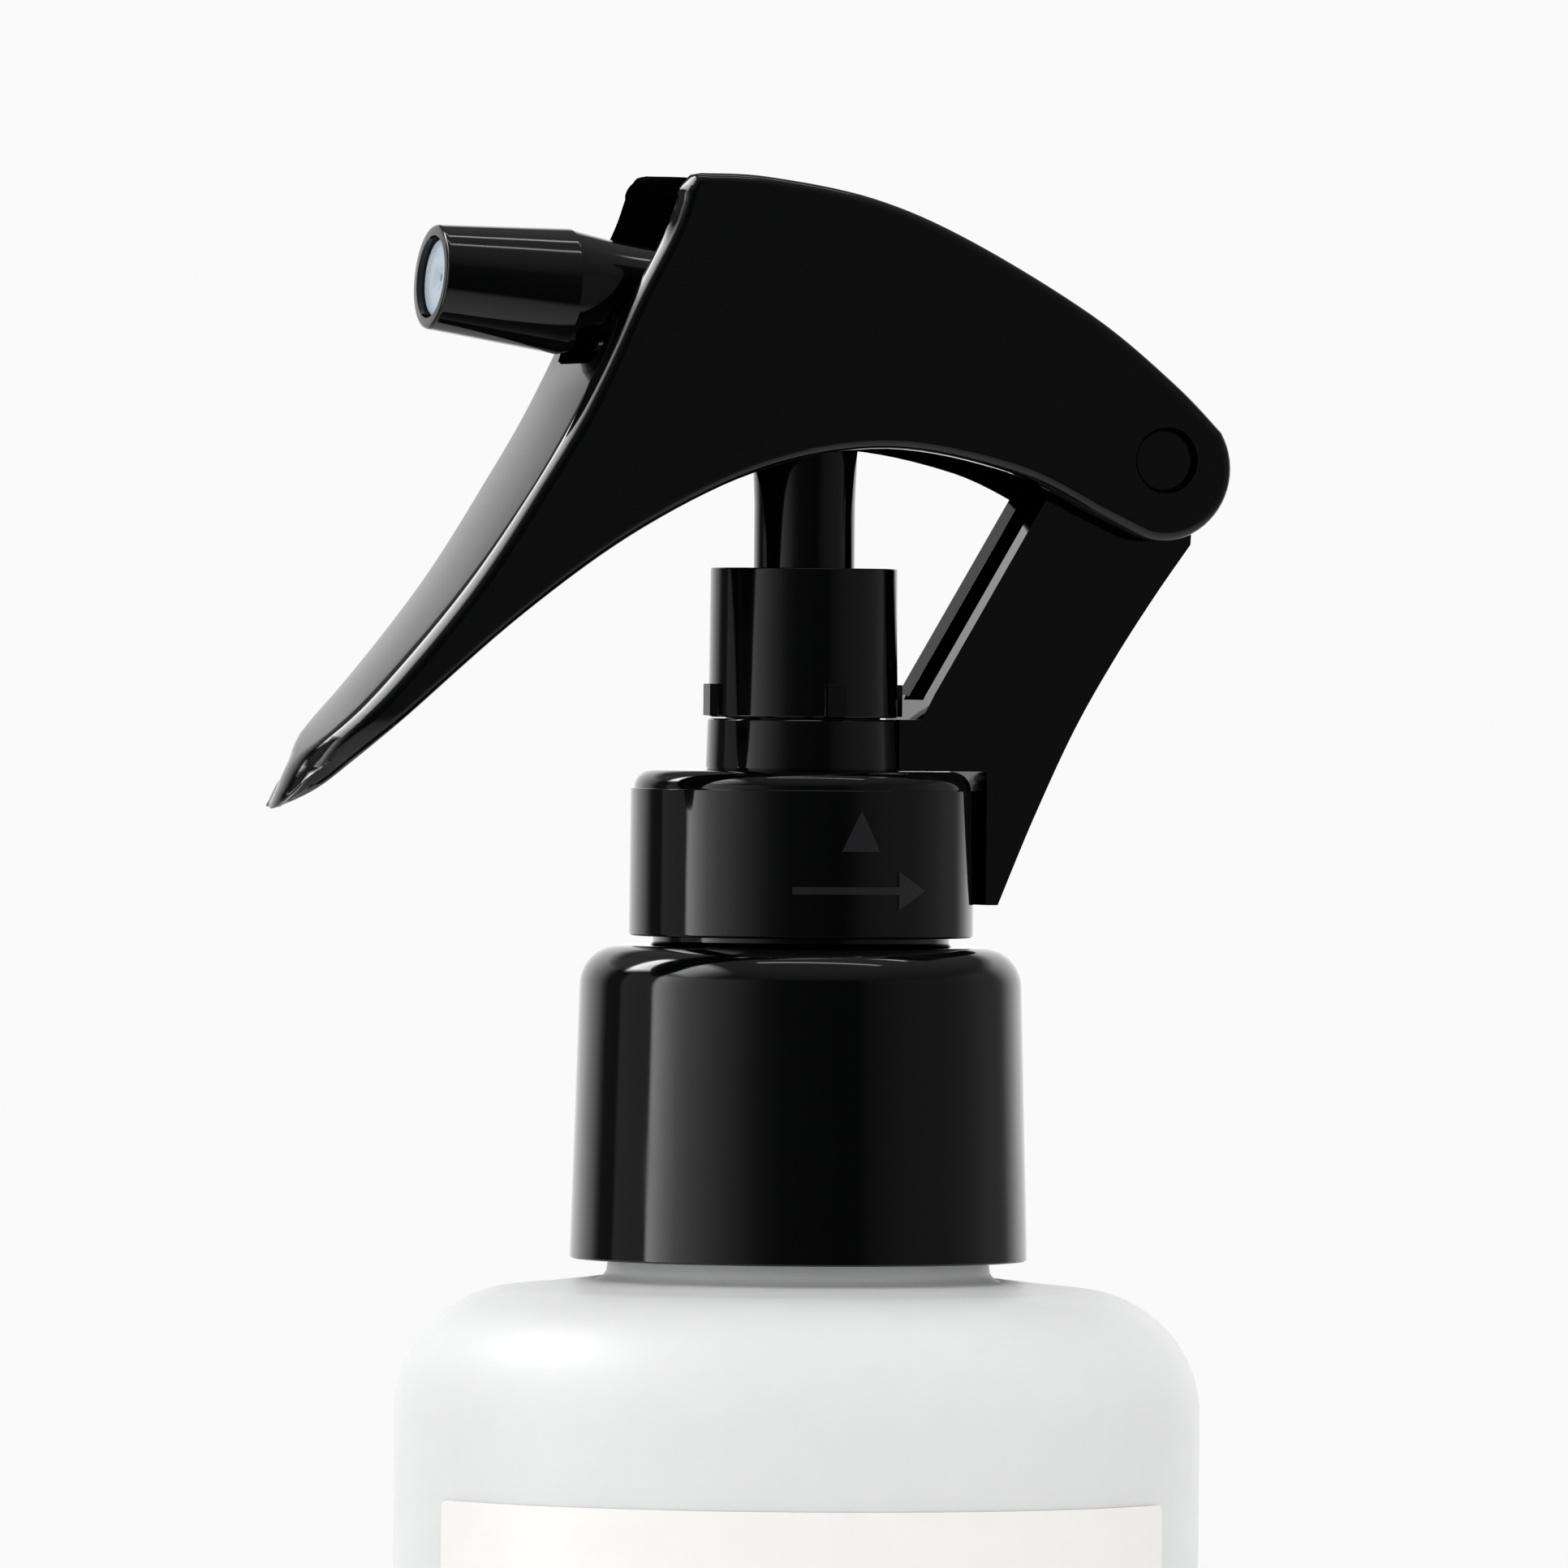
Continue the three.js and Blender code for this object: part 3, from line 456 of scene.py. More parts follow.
def material_nodes(name):
    material = bpy.data.materials.new(name)
    material.use_nodes = True
    nodes, links = material.node_tree.nodes, material.node_tree.links
    shader = nodes["Principled BSDF"]
    return material, nodes, links, shader


def noise(nodes, links, place_of, scale, detail=3.0, roughness=0.5):
    node = nodes.new("ShaderNodeTexNoise")
    node.inputs["Scale"].default_value = scale
    node.inputs["Detail"].default_value = detail
    node.inputs["Roughness"].default_value = roughness
    links.new(place_of, node.inputs["Vector"])
    return node.outputs["Fac"]


def spread(nodes, links, value, low, high, out_low, out_high):
    """Maps a value's range to another one."""
    node = nodes.new("ShaderNodeMapRange")
    for socket, number in zip(("From Min", "From Max", "To Min", "To Max"), (low, high, out_low, out_high)):
        node.inputs[socket].default_value = number
    links.new(value, node.inputs["Value"])
    return node.outputs["Result"]


def plastic(name, colour, roughness, mottle=0.12, wave=0.02, grain=0.01, worn=0.08, ior=1.49):
    """Moulded plastic: faintly mottled colour, moulding waves, a fine skin grain and hazy worn patches."""
    material, nodes, links, shader = material_nodes(name)
    place_of = nodes.new("ShaderNodeTexCoord").outputs["Object"]

    dark = [c * (1 - mottle) for c in colour]
    light = [min(1, c * (1 + mottle)) for c in colour]
    mix = nodes.new("ShaderNodeMix")
    mix.data_type = "RGBA"
    mix.inputs["A"].default_value = (*dark, 1)
    mix.inputs["B"].default_value = (*light, 1)
    specks = noise(nodes, links, place_of, 350)
    links.new(spread(nodes, links, specks, 0.3, 0.7, 0, 1), mix.inputs["Factor"])
    links.new(mix.outputs["Result"], shader.inputs["Base Color"])

    patches = noise(nodes, links, place_of, 90, 5, 0.65)
    hazy = spread(nodes, links, patches, 0.45, 0.75, roughness, roughness + worn)
    links.new(hazy, shader.inputs["Roughness"])

    skin = nodes.new("ShaderNodeBump")
    skin.inputs["Strength"].default_value = grain
    skin.inputs["Distance"].default_value = 0.05 * MM
    links.new(noise(nodes, links, place_of, 4500, 2), skin.inputs["Height"])
    waves = nodes.new("ShaderNodeBump")
    waves.inputs["Strength"].default_value = wave
    waves.inputs["Distance"].default_value = 1 * MM
    links.new(noise(nodes, links, place_of, 120, 1), waves.inputs["Height"])
    links.new(skin.outputs["Normal"], waves.inputs["Normal"])
    links.new(waves.outputs["Normal"], shader.inputs["Normal"])
    shader.inputs["IOR"].default_value = ior
    return material


def frosted_plastic():
    material = plastic("frosted plastic", (0.965, 0.975, 0.97), 0.42, mottle=0.012, grain=0.25, worn=0.1)
    shader = material.node_tree.nodes["Principled BSDF"]
    shader.inputs["Transmission Weight"].default_value = 0.35
    return material


def label_film():
    return plastic("label film", (0.85, 0.84, 0.82), 0.34, mottle=0.012, grain=0.15, worn=0.06)


def spring_steel():
    material = plastic("spring steel", (0.6, 0.61, 0.62), 0.22, mottle=0.05, grain=0.2, worn=0.12)
    material.node_tree.nodes["Principled BSDF"].inputs["Metallic"].default_value = 1
    return material


BLACK = plastic("gloss black plastic", (0.0005, 0.0007, 0.0008), 0.06, worn=0.05)
BLACK_SATIN = plastic("satin black plastic", (0.009, 0.0095, 0.0105), 0.3, grain=0.3, worn=0.1)
FROSTED = frosted_plastic()
LABEL = label_film()
INSERT = plastic("insert plastic", (0.42, 0.49, 0.56), 0.25, mottle=0.05)
WHITE = plastic("white plastic", (0.84, 0.85, 0.86), 0.3, mottle=0.02)
NATURAL = plastic("natural plastic", (0.72, 0.76, 0.77), 0.35, mottle=0.03)
FOAM = plastic("foam liner", (0.78, 0.76, 0.7), 0.8, mottle=0.06, grain=1.0)
STEEL = spring_steel()

# ---------------------------------------------------------------- bottle and label


def bottle():
    arc_r = BOTTLE_R - SHOULDER_R
    inner = BOTTLE_R - BOTTLE_WALL
    root = BOTTLE_THREAD["root"]
    outline = [
        (0, BASE_RISE),
        (BOTTLE_R - HEEL_R - 3, BASE_RISE),
        (BOTTLE_R - HEEL_R - 2, 0),
        *arc(BOTTLE_R - HEEL_R, HEEL_R, HEEL_R, -90, 0, 8),
        *arc(arc_r, SHOULDER_Z, SHOULDER_R, 0, 90, 20),
        *arc(SHOULDER_EDGE[0] + 0.1, SHOULDER_EDGE[1] - 0.7, 0.7, 75, 130, 4),
        (root + 0.75, SHOULDER_EDGE[1] + 0.15),
        (root + 0.45, SHOULDER_EDGE[1] + 0.6),
        (root + 0.3, NECK_Z),
        (root, NECK_Z + 1),
        *rounded([(root, MOUTH_Z, 0.4), (NECK_BORE_R, MOUTH_Z, 0.4), (NECK_BORE_R, NECK_Z)])[:-1],
        (NECK_BORE_R, SHOULDER_EDGE[1] - 0.8),
        *arc(arc_r, SHOULDER_Z, SHOULDER_R - BOTTLE_WALL, 90, 0, 16),
        (inner, BASE_WALL + HEEL_R - BOTTLE_WALL),
        (BOTTLE_R - HEEL_R, BASE_WALL),
        (0, BASE_WALL + BASE_RISE),
    ]
    shell = revolve("bottle_shell", outline)
    join(shell, neck_thread("thread", **BOTTLE_THREAD))
    return place(shade(shell), "bottle", "frosted_plastic", FROSTED, "bottle")


def label():
    """A film wrapped on the bottle's front, with rounded corners."""
    half = LABEL_WIDTH / LABEL_R / 2
    low, high = LABEL_LOW.z, LABEL_HIGH.z
    columns = 96
    verts, faces = [], []
    for r in (LABEL_R, LABEL_R + LABEL_THICK):
        for i in range(columns + 1):
            along = LABEL_WIDTH * (i / columns - 0.5)
            to_side = LABEL_WIDTH / 2 - abs(along)
            short = max(0, LABEL_CORNER - to_side)
            lift = LABEL_CORNER - math.sqrt(LABEL_CORNER**2 - short**2)
            angle = LABEL_ANGLE + half * 2 * along / LABEL_WIDTH
            for z in (low + lift, high - lift):
                verts.append((r * math.cos(angle), r * math.sin(angle), z))
    row = 2 * (columns + 1)
    for i in range(columns):
        a, b = 2 * i, row + 2 * i
        faces += [(a, a + 2, a + 3, a + 1), (b, b + 1, b + 3, b + 2)]
        faces += [(a, b, b + 2, a + 2), (a + 1, a + 3, b + 3, b + 1)]
    for a in (0, row - 2):
        faces.append((a, a + 1, row + a + 1, row + a))
    film = mesh_object("label_film", verts, faces)
    return place(shade(film), "bottle", "label_film", LABEL, "front_label")


# ---------------------------------------------------------------- adapter cap and collar


def adapter_cap():
    roof = ADAPTER_TOP_Z - ADAPTER_ROOF
    root = PUMP_THREAD["root"]
    land = [(ADAPTER_LAND_R, 0), (ADAPTER_LAND_R, COLLAR_LOW.z + 0.6, 0.2), (root, COLLAR_LOW.z + 1.4)]
    mouth = [(root, 0), (root, PUMP_MOUTH_Z, 0.3), (ADAPTER_BORE_R, PUMP_MOUTH_Z, 0.3), (ADAPTER_BORE_R, 0)]
    outline = [
        (BOTTLE_THREAD["cap"] + 0.3, NECK_Z),
        *rounded([(0, NECK_Z), (ADAPTER_R[0], NECK_Z, 0.18), (ADAPTER_R[1], 144)])[1:-1],
        *arc(ADAPTER_R[1] - ADAPTER_FILLET, ADAPTER_TOP_Z - ADAPTER_FILLET, ADAPTER_FILLET, 0, 90, 14),
        (ADAPTER_LAND_R + 0.4, ADAPTER_TOP_Z),
        *arc(ADAPTER_LAND_R + 0.4, ADAPTER_TOP_Z + 0.4, 0.4, -90, -180, 4),
        *rounded(land)[1:-1],
        (root, COLLAR_LOW.z + 1.6),
        *rounded(mouth)[1:-1],
        (ADAPTER_BORE_R, roof),
        (BOTTLE_THREAD["cap"], roof),
        (BOTTLE_THREAD["cap"], NECK_Z + 1.5),
    ]
    cap = revolve("adapter_cap_shell", outline)
    join(cap, cap_thread("thread", **BOTTLE_THREAD), neck_thread("thread", **PUMP_THREAD))
    return place(shade(cap), "adapter", "black_plastic", BLACK, "adapter_cap")


def screw_collar():
    low, high = COLLAR_LOW.z, COLLAR_HIGH.z
    step_r, step_z = COLLAR_STEP
    dome = high - step_z
    wall = [(0, low), (COLLAR_R, low, 0.25), (COLLAR_R - 0.05, step_z, 0.08), (step_r, step_z)]
    outline = [
        (PUMP_THREAD["cap"] + 0.2, low),
        *rounded(wall)[1:-1],
        (step_r + 0.02, step_z),
        (step_r, step_z + 0.05),
        *arc(step_r - dome, step_z, dome, 4, 90, 14),
        (COLLAR_HOLE_R, high),
        (COLLAR_HOLE_R, high - COLLAR_WALL),
        (PUMP_THREAD["cap"], high - COLLAR_WALL),
        (PUMP_THREAD["cap"], low + 1),
    ]
    ring = revolve("collar_shell", outline)
    join(ring, cap_thread("thread", **PUMP_THREAD))
    return place(shade(ring), "collar", "black_plastic", BLACK, "screw_collar")


def collar_marks():
    """A pointer and an arrow that shows which way the collar unscrews, raised a little from its wall."""
    face = COLLAR_R + MARK_RISE
    for name, stretches in COLLAR_MARKS.items():
        rows = []
        for start, end in zip(stretches, stretches[1:]):
            for k in range(MARK_STEPS + 1):
                along, low, high = (a + (b - a) * k / MARK_STEPS for a, b in zip(start, end))
                angle = along / COLLAR_R - math.pi / 2
                section = ((MARK_ROOT_R, low), (face, low), (face, high), (MARK_ROOT_R, high))
                rows.append([(r * math.cos(angle), r * math.sin(angle), z) for r, z in section])
        place(shade(skinned("collar_" + name, rows)), "collar", "black_plastic", BLACK_SATIN)


# ---------------------------------------------------------------- pump body and sleeve


def arm_outline():
    """Side of the rear arm: tail behind the collar, curved back, round head, straight front."""
    foot = COLLAR_HIGH.z + 0.03
    head = arc(HINGE[0], HINGE[1], HINGE_HEAD_R, 0, 126, 16)
    return [
        (ARM_ROOT_X, foot),
        (TAIL_X, foot),
        (TAIL_X, ARM_BACK[0][1]),
        *spline(ARM_BACK),
        *head,
        *ARM_FRONT,
        (ARM_ROOT_X, RING_TOP_Z),
    ]


def arm_channel():
    """The arm's hollow, open to the front, between its side walls and in front of its back wall."""
    back = [p for p in shifted(spline(ARM_BACK), ARM_BACK_WALL) if p[1] > ARM_FLOOR_Z]
    foot_x = RING_R[0] + 0.34
    return [
        (foot_x, ARM_FLOOR_Z),
        (back[0][0] - 0.2, ARM_FLOOR_Z),
        *back,
        (HINGE[0] - 1.2, HINGE[1] - HINGE_HEAD_R),
        (ARM_FRONT[0][0] - 1.2, HINGE[1]),
        (foot_x, ARM_FLOOR_Z + 0.8),
    ]


def arm_front_slope():
    """A thin wedge before the far wall's front, which leans in towards the hollow."""
    top, foot = Vector(ARM_FRONT[0]), Vector(ARM_FRONT[1])
    ahead = (top - foot).normalized().orthogonal()
    inner = ARM_HALF - ARM_WALL - 0.1
    verts = []
    for point in (top, foot):
        for y, depth in ((ARM_HALF, 0), (inner, -ARM_FRONT_SLOPE), (inner, 1), (ARM_HALF, 1)):
            x, z = point + ahead * depth
            verts.append((x, y, z))
    faces = [(0, 1, 2, 3), (4, 5, 6, 7), *((k, (k + 1) % 4, (k + 1) % 4 + 4, k + 4) for k in range(4))]
    return mesh_object("slope", verts, faces)


def pump_body():
    foot = RING_R[0] - 0.1
    outline = [
        (SEAL_R, FLANGE_Z[0]),
        (FLANGE_R, FLANGE_Z[0]),
        (FLANGE_R, FLANGE_Z[1]),
        (foot, FLANGE_Z[1]),
        (foot, COLLAR_HIGH.z + 0.1),
        (RING_R[0], COLLAR_HIGH.z + 0.3),
        (RING_R[1], RING_TOP_Z - 0.15),
        (RING_R[1] - 0.15, RING_TOP_Z),
        (RING_BORE_R, RING_TOP_Z),
        (RING_BORE_R, RING_FLOOR_Z[1]),
        (STEM_BORE_R, RING_FLOOR_Z[1]),
        (STEM_BORE_R, RING_FLOOR_Z[0]),
        (SEAL_R, RING_FLOOR_Z[0]),
    ]
    body = revolve("pump_frame", outline)
    arm = slab("arm", arm_outline(), ARM_HALF)
    cut(arm, slab("channel", arm_channel(), ARM_HALF - ARM_WALL), arm_front_slope())
    boss = cross_rod("boss", HINGE_BOSS["r"], HINGE_BOSS["half"], *HINGE)
    pin = cross_rod("pin", PIN["r"], PIN["half"], *HINGE, edge=0.35)
    join(body, arm, boss, pin)
    soften(body, 0.1)
    return place(shade(body), "pump", "black_plastic", BLACK, "pump_body")


def column_sleeve():
    low, high = COLUMN_Z
    hole_r = ACTUATOR_R[1] + 0.1
    plug_r, plug_z = COLUMN_PLUG
    outline = [
        (COLUMN_BORE_R, plug_z),
        (plug_r, plug_z),
        (plug_r, low),
        (COLUMN_R[0] - 0.1, low),
        (COLUMN_R[0], low + 0.1),
        *rounded([(COLUMN_R[1], low), (COLUMN_R[1], high, 0.12), (0, high)], 3)[1:-1],
        (hole_r, high),
        (hole_r, high - COLUMN_TOP),
        (COLUMN_BORE_R, high - COLUMN_TOP),
    ]
    sleeve = revolve("column", outline)
    half = LUG["width"] / 2
    for i in range(LUG["count"]):
        lug = block("lug", (COLUMN_R[0] - 0.3, -half, LUG["z"][0]), (LUG["r"], half, LUG["z"][1]))
        lug.data.transform(Matrix.Rotation(i * math.tau / LUG["count"], 4, "Z"))
        join(sleeve, lug)
    soften(sleeve, 0.1)
    return place(shade(sleeve), "pump", "black_plastic", BLACK, "column_sleeve")


# ---------------------------------------------------------------- actuator and nozzle

ALONG_NOZZLE = Matrix.Translation(NOZZLE_FRONT * MM) @ Matrix.Rotation(math.pi / 2 + NOZZLE_TILT, 4, "Y")


def bore(name, r, low, high, sides, matrix=None):
    return revolve(name, [(0, low), (r, low), (r, high), (0, high)], sides, matrix)


def actuator():
    low, high = ACTUATOR_Z
    foot, top = ACTUATOR_R
    edge = top - 1.5
    stem = revolve("actuator_body", [
        (0, low), (foot, low), (foot, 183), (top, 187), *arc(edge, high - 1.5, 1.5, 0, 90), (0, high),
    ], 96)
    reach = NOZZLE_REAR.x - NOZZLE_FRONT.x + 1
    face = NOZZLE_FACE_R - NOZZLE_RIM
    tube = revolve("tube", [
        (0, 0),
        (face, 0),
        *arc(face, NOZZLE_RIM, NOZZLE_RIM, -90, 0, 4),
        *NOZZLE_PROFILE,
        (foot, reach),
        (0, reach),
    ], 96, ALONG_NOZZLE)
    trunnion = cross_rod("trunnion", TRUNNION["r"], TRUNNION["half"], 0, TRUNNION["z"], 32)
    join(stem, tube, trunnion)
    cavity_r, depth = NOZZLE_CAVITY
    cut(
        stem,
        bore("cavity", cavity_r, -1, depth, 64, ALONG_NOZZLE),
        bore("passage", NOZZLE_PASSAGE_R, depth - 1, reach - 1, 32, ALONG_NOZZLE),
        bore("valve", *VALVE_BORE, 32),
        bore("socket", STEM_SOCKET[0], low - 1, STEM_SOCKET[1], 48),
    )
    soften(stem, 0.1)
    return place(shade(stem), "actuator", "black_plastic", BLACK, "actuator")


def nozzle_insert():
    r = NOZZLE_CAVITY[0] - 0.1
    hole_r, post_r = 0.3, 2.25
    dish = [(hole_r, 0.95), (1.1, 0.62), (1.4, 0.6)]
    wall = [(r - 0.2, 0.6), (r, 0.8), (r, 5.9)]
    room = [(post_r, 5.9), (post_r, 1.9), (hole_r, 1.9)]
    cup = revolve("spray_insert", dish + wall + room, 64, ALONG_NOZZLE)
    return place(shade(cup), "actuator", "white_plastic", INSERT, "nozzle_insert")


# ---------------------------------------------------------------- trigger


def turned(end, steps):
    return arc(end["x"], end["z"], end["r"], end["from"], end["to"], steps)


def trigger_outline():
    return [
        *spline(TRIGGER_TOP),
        *turned(TRIGGER_END, 24),
        *spline(TRIGGER_BOTTOM),
        *spline(TRIGGER_FRONT),
        *turned(TRIGGER_CORNER, 8),
    ]


def between(rows, at):
    """The value at a place, straight between the rows of a (place, value) list."""
    if at <= rows[0][0]:
        return rows[0][1]
    for (a, low), (b, high) in zip(rows, rows[1:]):
        if at <= b:
            return low + (high - low) * (at - a) / (b - a)
    return rows[-1][1]


def taper(obj, margin=0.0):
    """Draws the sides in towards the blade's tip."""
    widths = spline(BLADE_WIDTHS, TAPER_STEPS)
    made = bmesh.new()
    made.from_mesh(obj.data)
    for z, _ in widths:
        whole = [*made.verts, *made.edges, *made.faces]
        bmesh.ops.bisect_plane(made, geom=whole, dist=1e-7, plane_co=(0, 0, z * MM), plane_no=(0, 0, 1))
    for vert in made.verts:
        half = between(widths, vert.co.z / MM)
        vert.co.y *= max(0.05, (half - margin) / (TRIGGER_HALF - margin))
    made.to_mesh(obj.data)
    made.free()
    return obj


def trigger_hollow():
    """Room inside the trigger, (x, z): under the roof, behind the blade, open below."""
    roof = [p for p in shifted(spline(TRIGGER_TOP), -TRIGGER_WALL) if p[0] > ROOF_FRONT_X]
    low, high = BLADE_HOLLOW_Z
    blade = [p for p in shifted(spline(TRIGGER_FRONT), -BLADE_WALL) if low < p[1] < high]
    below, above = PAST_TRIGGER_Z
    rear_z = HINGE[1] + 0.4
    return [
        *roof,
        (HINGE[0] + 4.6, rear_z),
        (HINGE[0] + 9, rear_z),
        (HINGE[0] + 9, below),
        (-30, below),
        *blade,
        (blade[-1][0], above),
        (ROOF_FRONT_X, above),
    ]


def rolled(broad, tight, turn):
    """How far across and back an edge has gone after a turn: first round broadly, then tightly."""
    first = min(turn, FRONT_BREAK)
    across = broad * math.sin(first) + tight * (math.sin(turn) - math.sin(first))
    back = broad * (1 - math.cos(first)) + tight * (math.cos(first) - math.cos(turn))
    return across, back


def trigger_row(outline, inwards, widths, station):
    """The outline at one station: -1 to 0 from the middle to where the edges start, then their turn."""
    tip = Vector(TRIGGER_BOTTOM[-1])
    least, full = FRONT_FACING
    row = []
    for (x, z), inward in zip(outline, inwards):
        front = min(1, max(0, (inward.x - least) / (full - least)))
        half = between(widths, z)
        broad = TRIGGER_EDGE + (between(FRONT_ROUND, z) - TRIGGER_EDGE) * front
        tight = TRIGGER_EDGE + (FRONT_EDGE - TRIGGER_EDGE) * front
        reach, _ = rolled(broad, tight, math.pi / 2)
        fit = min(1, (half - 0.1) / reach)
        across, back = rolled(broad, tight, max(station, 0))
        y = half - reach * fit + across * fit
        if station < 0:
            y *= 1 + station
        room = TIP_ROOM[0] + TIP_ROOM[1] * (Vector((x, z)) - tip).length
        crown = BLADE_CROWN * between(FRONT_CROWN, z) * front * (1 - (y / half) ** 2)
        depth = min(back * fit, room) - crown
        row.append((x + inward.x * depth, y * TRIGGER_HALF / half, z + inward.y * depth))
    return row


def trigger_shell():
    """The trigger's outside, still solid: two flat cheeks and a crowned front that rolls into them."""
    outline = counter_clockwise(trigger_outline())
    inwards = [Vector(b) - Vector(a) for a, b in zip(outline, inset(outline, 1))]
    widths = spline(BLADE_WIDTHS, TAPER_STEPS)
    stations = [k / FACE_STEPS - 1 for k in range(FACE_STEPS)] + [math.radians(t) for t in EDGE_TURNS]
    rows = [trigger_row(outline, inwards, widths, station) for station in stations]
    mirrored = [[(x, -y, z) for x, y, z in row] for row in reversed(rows[1:])]
    return skinned("trigger_shell", mirrored + rows)


def nozzle_slot():
    """The nozzle's room between the cheeks' fronts, with a small notch at its foot."""
    right = [*NOZZLE_SLOT, (NOZZLE_SLOT[-1][0], PAST_TRIGGER_Z[1])]
    outline = [*right, *((-y, z) for y, z in reversed(right))]
    return skinned("slot", [[(x, y, z) for y, z in outline] for x in NOZZLE_SLOT_X])


def fork(side, inner):
    """A forked lug inside one cheek; it holds a trunnion of the actuator."""
    near, far = sorted((side * (ACTUATOR_R[0] + 0.65), side * (inner + 0.5)))
    lug = block("fork", (-FORK["x"], near, FORK["z"][0]), (FORK["x"], far, FORK["z"][1]))
    reach = TRUNNION["r"] + FORK["play"]
    corner = Vector((FORK["slot"], PAST_CHEEKS_Y, reach))
    middle = Vector((0, 0, TRUNNION["z"]))
    return cut(lug, block("slot", middle - corner, middle + corner))


def trigger():
    inner = TRIGGER_HALF - TRIGGER_WALL
    hollow = taper(slab("hollow", trigger_hollow(), inner), TRIGGER_WALL)
    body = cut(taper(trigger_shell()), hollow, nozzle_slot())
    join(body, fork(-1, inner), fork(1, inner))
    cut(body, cross_rod("hole", HINGE_HOLE_R, PAST_CHEEKS_Y, *HINGE))
    soften(body, 0.15)
    return place(shade(body), "trigger", "black_plastic", BLACK, "trigger")


# ---------------------------------------------------------------- pieces that keep their CAD mesh


def carried_over():
    looks = {
        "adapter_gasket": FOAM,
        "neck_gasket": FOAM,
        "stem_seal": NATURAL,
        "pump_housing": NATURAL,
        "dip_tube": NATURAL,
        "return_spring": STEEL,
        "piston_stem": NATURAL,
        "piston": WHITE,
        "swirl_core": WHITE,
        "inlet_ball": STEEL,
        "outlet_ball": STEEL,
    }
    for node, look in looks.items():
        mesh = frame["nodes"][node].data
        mesh.materials.clear()
        mesh.materials.append(look)


# ---------------------------------------------------------------- stage, light and camera

VIEW_TURN = math.radians(20)  # how far round from -Y towards -X the camera stands
TO_CAMERA = Vector((-math.sin(VIEW_TURN), -math.cos(VIEW_TURN), 0))
CAMERA_RIGHT = Vector((math.cos(VIEW_TURN), -math.sin(VIEW_TURN), 0))
CAMERA_DISTANCE = 1480
CAMERA_Z = 171.4
CAMERA_AIM = Vector((-1.39, 0.51, 160.3))
CAMERA_ROLL = math.radians(0.49)
LENS = 419.25

# Light by direction, as (place, brightness). Walls go by degrees round the object from the camera, positive
# to its right. The rest go by a direction's share up, towards the camera (lamp) or to its right (dome).
PALE = 0.955
WALL_LIGHT = [
    (-180, 1.25), (-150, 1.25), (-140, 1.0), (-130, 0.62), (-125, 0.25), (-121, 0.06), (-109, 0.06),
    (-107, 0.28), (-84, 0.3), (-82.5, 4.1), (-73, 2.3), (-66, 1.4), (-58, 0.97), (-45, 0.58), (-35, 0.36),
    (-24, 0.16), (-18, 0.09), (-8, 0.05), (8, 0.04), (20, 0.025), (30, 0.03), (38, 0.09), (50, 0.14),
    (64, 0.17), (82, 0.18), (96, 0.22), (112, 0.29), (123, 0.24), (129, 0.3), (135, 0.65), (142, 1.0),
    (150, 1.25),
]
CEILING_LIGHT = [(0.4, 0.1), (0.5, 0.13), (0.84, 0.28), (1, 0.3)]
CEILING_UP = (0.4, 0.52)  # where the walls turn into the ceiling
TABLE_LIGHT = [(-1, 0.8), (-0.7, 0.6), (-0.4, 0.4)]
TABLE_UP = (-0.38, -0.5)
LAMP_LIGHT = [(-1, 0.2), (-0.42, 0.3), (-0.37, 14), (-0.2, 9), (0.2, 5), (0.46, 1), (0.6, 0.15), (1, 0.1)]
LAMP_LEFT = (-0.86, -0.8)  # where the lamp over the camera's left starts and ends, with soft edges
LAMP_RIGHT = (-0.48, -0.56)
DOME_LIGHT = [(-1, 1.36), (-0.3, 1.24), (1, 0.98)]
STRIP_TOWARDS = (-0.28, 0.114)
STRIP_ACROSS = 0.12
STRIP_UP = 0.93
STRIP_SIZE = (0.75, 0.055)  # metres, seen from a metre away
STRIP_CENTRE = (0, 0, 0.18)
STRIP_LEVEL = 5
FLOOR_R = 1500


def floor():
    disc = revolve("floor", [(0, 0), (FLOOR_R, 0), (FLOOR_R, -5), (0, -5)], 96)
    disc.data.materials.append(plastic("studio floor", (0.85, 0.85, 0.85), 0.6, mottle=0.01, wave=0))
    disc.visible_glossy = False


def dot(nodes, links, direction, axis):
    node = nodes.new("ShaderNodeVectorMath")
    node.operation = "DOT_PRODUCT"
    node.inputs[1].default_value = axis
    links.new(direction, node.inputs[0])
    return node.outputs["Value"]


def reckoned(nodes, links, operation, first, second, clamp=False):
    node = nodes.new("ShaderNodeMath")
    node.operation = operation
    node.use_clamp = clamp
    links.new(first, node.inputs[0])
    links.new(second, node.inputs[1])
    return node.outputs[0]


def light_ramp(nodes, links, value, stops, low, high):
    """Grey light by a value: stops are (value, brightness)."""
    node = nodes.new("ShaderNodeValToRGB")
    links.new(spread(nodes, links, value, low, high, 0, 1), node.inputs["Fac"])
    ramp = node.color_ramp
    while len(ramp.elements) < len(stops):
        ramp.elements.new(0.5)
    top = max(level for _, level in stops)
    for element, (at, level) in zip(ramp.elements, stops):
        element.position = (at - low) / (high - low)
        element.color = (level / top, level / top, level / top, 1)
    light = nodes.new("ShaderNodeBackground")
    light.inputs["Strength"].default_value = top
    links.new(node.outputs["Color"], light.inputs["Color"])
    return light.outputs[0]


def mixed(nodes, links, factor, first, second):
    node = nodes.new("ShaderNodeMixShader")
    links.new(factor, node.inputs["Fac"])
    links.new(first, node.inputs[1])
    links.new(second, node.inputs[2])
    return node.outputs[0]


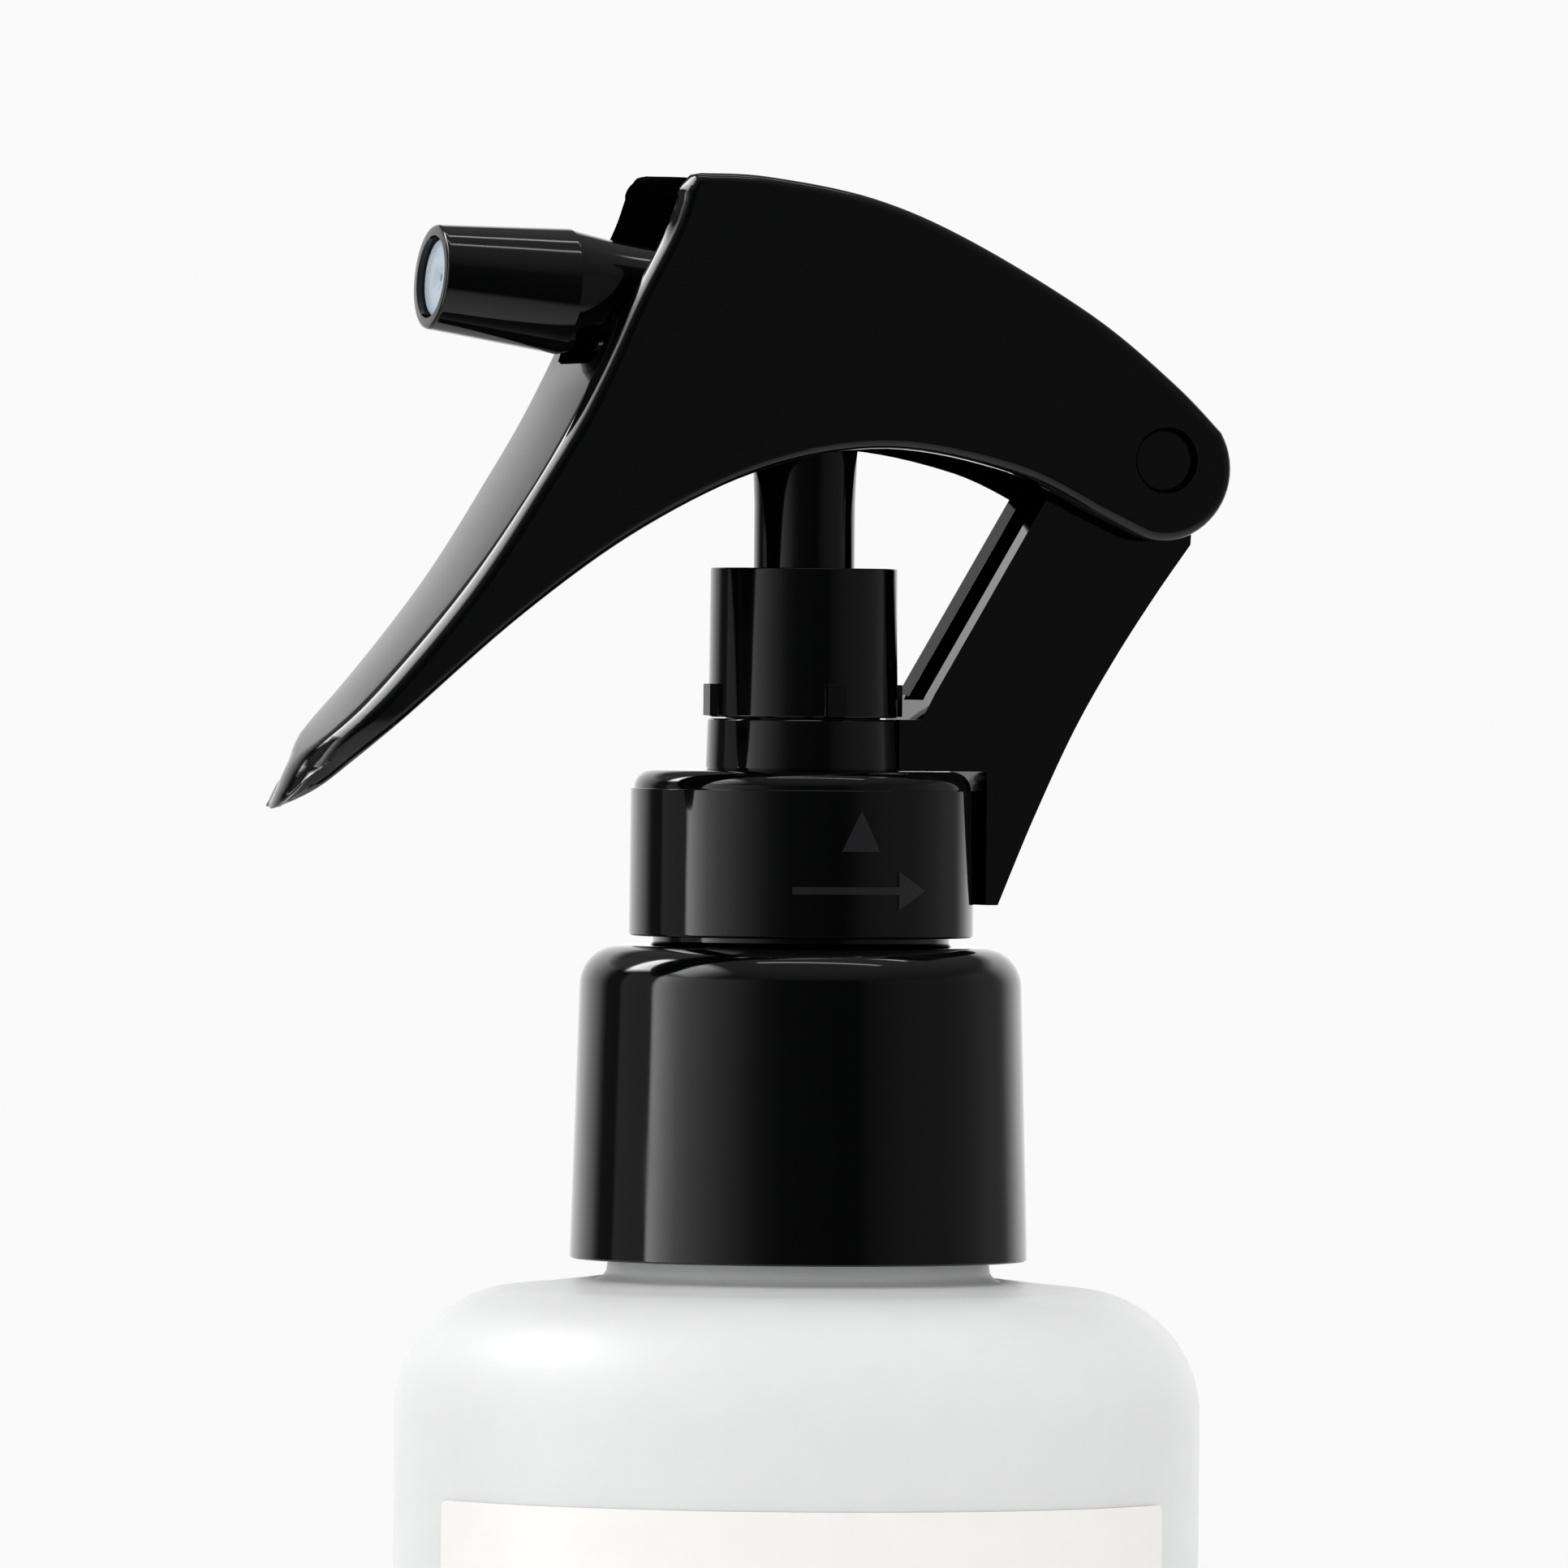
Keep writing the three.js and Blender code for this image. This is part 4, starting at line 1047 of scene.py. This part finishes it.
def world():
    """The studio round the object: softbox and lamp at the left, pale wall and table, dark ceiling.

    Gloss reflects these. Everything else, with what shines through the frosted bottle, is lit by a pale
    dome that is a little brighter on the softbox's side.
    """
    made = bpy.data.worlds.new("studio")
    bpy.context.scene.world = made
    made.use_nodes = True
    nodes, links = made.node_tree.nodes, made.node_tree.links
    nodes.remove(nodes["Background"])
    direction = nodes.new("ShaderNodeTexCoord").outputs["Generated"]
    across = dot(nodes, links, direction, CAMERA_RIGHT)
    towards = dot(nodes, links, direction, TO_CAMERA)
    up = dot(nodes, links, direction, (0, 0, 1))
    turn = reckoned(nodes, links, "ARCTAN2", across, towards)
    degrees = spread(nodes, links, turn, -math.pi, math.pi, -180, 180)

    walls = light_ramp(nodes, links, degrees, WALL_LIGHT, -180, 180)
    ceiling = light_ramp(nodes, links, up, CEILING_LIGHT, 0, 1)
    table = light_ramp(nodes, links, up, TABLE_LIGHT, -1, 0)
    lamp = light_ramp(nodes, links, towards, LAMP_LIGHT, -1, 1)
    above = spread(nodes, links, up, *CEILING_UP, 0, 1)
    below = spread(nodes, links, up, *TABLE_UP, 0, 1)
    past_left = spread(nodes, links, across, *LAMP_LEFT, 0, 1)
    before_right = spread(nodes, links, across, *LAMP_RIGHT, 0, 1)
    in_lamp = reckoned(nodes, links, "MINIMUM", past_left, before_right)
    in_lamp = reckoned(nodes, links, "MULTIPLY", in_lamp, above)
    studio = mixed(nodes, links, below, mixed(nodes, links, above, walls, ceiling), table)
    studio = mixed(nodes, links, in_lamp, studio, lamp)

    dome = light_ramp(nodes, links, across, DOME_LIGHT, -1, 1)
    seen = light_ramp(nodes, links, up, [(-1, PALE), (1, PALE)], -1, 1)
    rays = nodes.new("ShaderNodeLightPath").outputs
    reflected = reckoned(nodes, links, "SUBTRACT", rays["Is Glossy Ray"], rays["Is Transmission Ray"], True)
    lit = mixed(nodes, links, reflected, dome, studio)
    shown = mixed(nodes, links, rays["Is Camera Ray"], lit, seen)
    links.new(shown, nodes["World Output"].inputs["Surface"])


def strip_lights():
    """Two long lamps over the object, whose reflections are the thin lines along its tops."""
    for towards in STRIP_TOWARDS:
        lamp = bpy.data.lights.new("strip", "AREA")
        lamp.shape = "RECTANGLE"
        lamp.size, lamp.size_y = STRIP_SIZE
        lamp.energy = STRIP_LEVEL * math.pi * lamp.size * lamp.size_y
        obj = bpy.data.objects.new("strip", lamp)
        bpy.context.scene.collection.objects.link(obj)
        way = TO_CAMERA * towards + CAMERA_RIGHT * STRIP_ACROSS + Vector((0, 0, STRIP_UP))
        way.normalize()
        obj.location = Vector(STRIP_CENTRE) + way
        facing = Matrix((CAMERA_RIGHT, way.cross(CAMERA_RIGHT), way)).transposed()
        obj.rotation_euler = facing.to_euler()


def camera():
    lens = bpy.data.cameras.new("camera")
    lens.sensor_width = 36
    lens.lens = LENS
    lens.clip_start, lens.clip_end = 0.05, 30
    made = bpy.data.objects.new("camera", lens)
    bpy.context.scene.collection.objects.link(made)
    stand = TO_CAMERA * CAMERA_DISTANCE + Vector((0, 0, CAMERA_Z))
    made.location = stand * MM
    made.rotation_mode = "QUATERNION"
    roll = Matrix.Rotation(CAMERA_ROLL, 3, "Z").to_quaternion()
    made.rotation_quaternion = (CAMERA_AIM - stand).to_track_quat("-Z", "Y") @ roll
    bpy.context.scene.camera = made


# ---------------------------------------------------------------- assembly

bottle()
label()
adapter_cap()
screw_collar()
collar_marks()
pump_body()
column_sleeve()
actuator()
nozzle_insert()
trigger()
carried_over()
floor()
world()
strip_lights()
camera()
bpy.context.scene.view_settings.view_transform = "Standard"
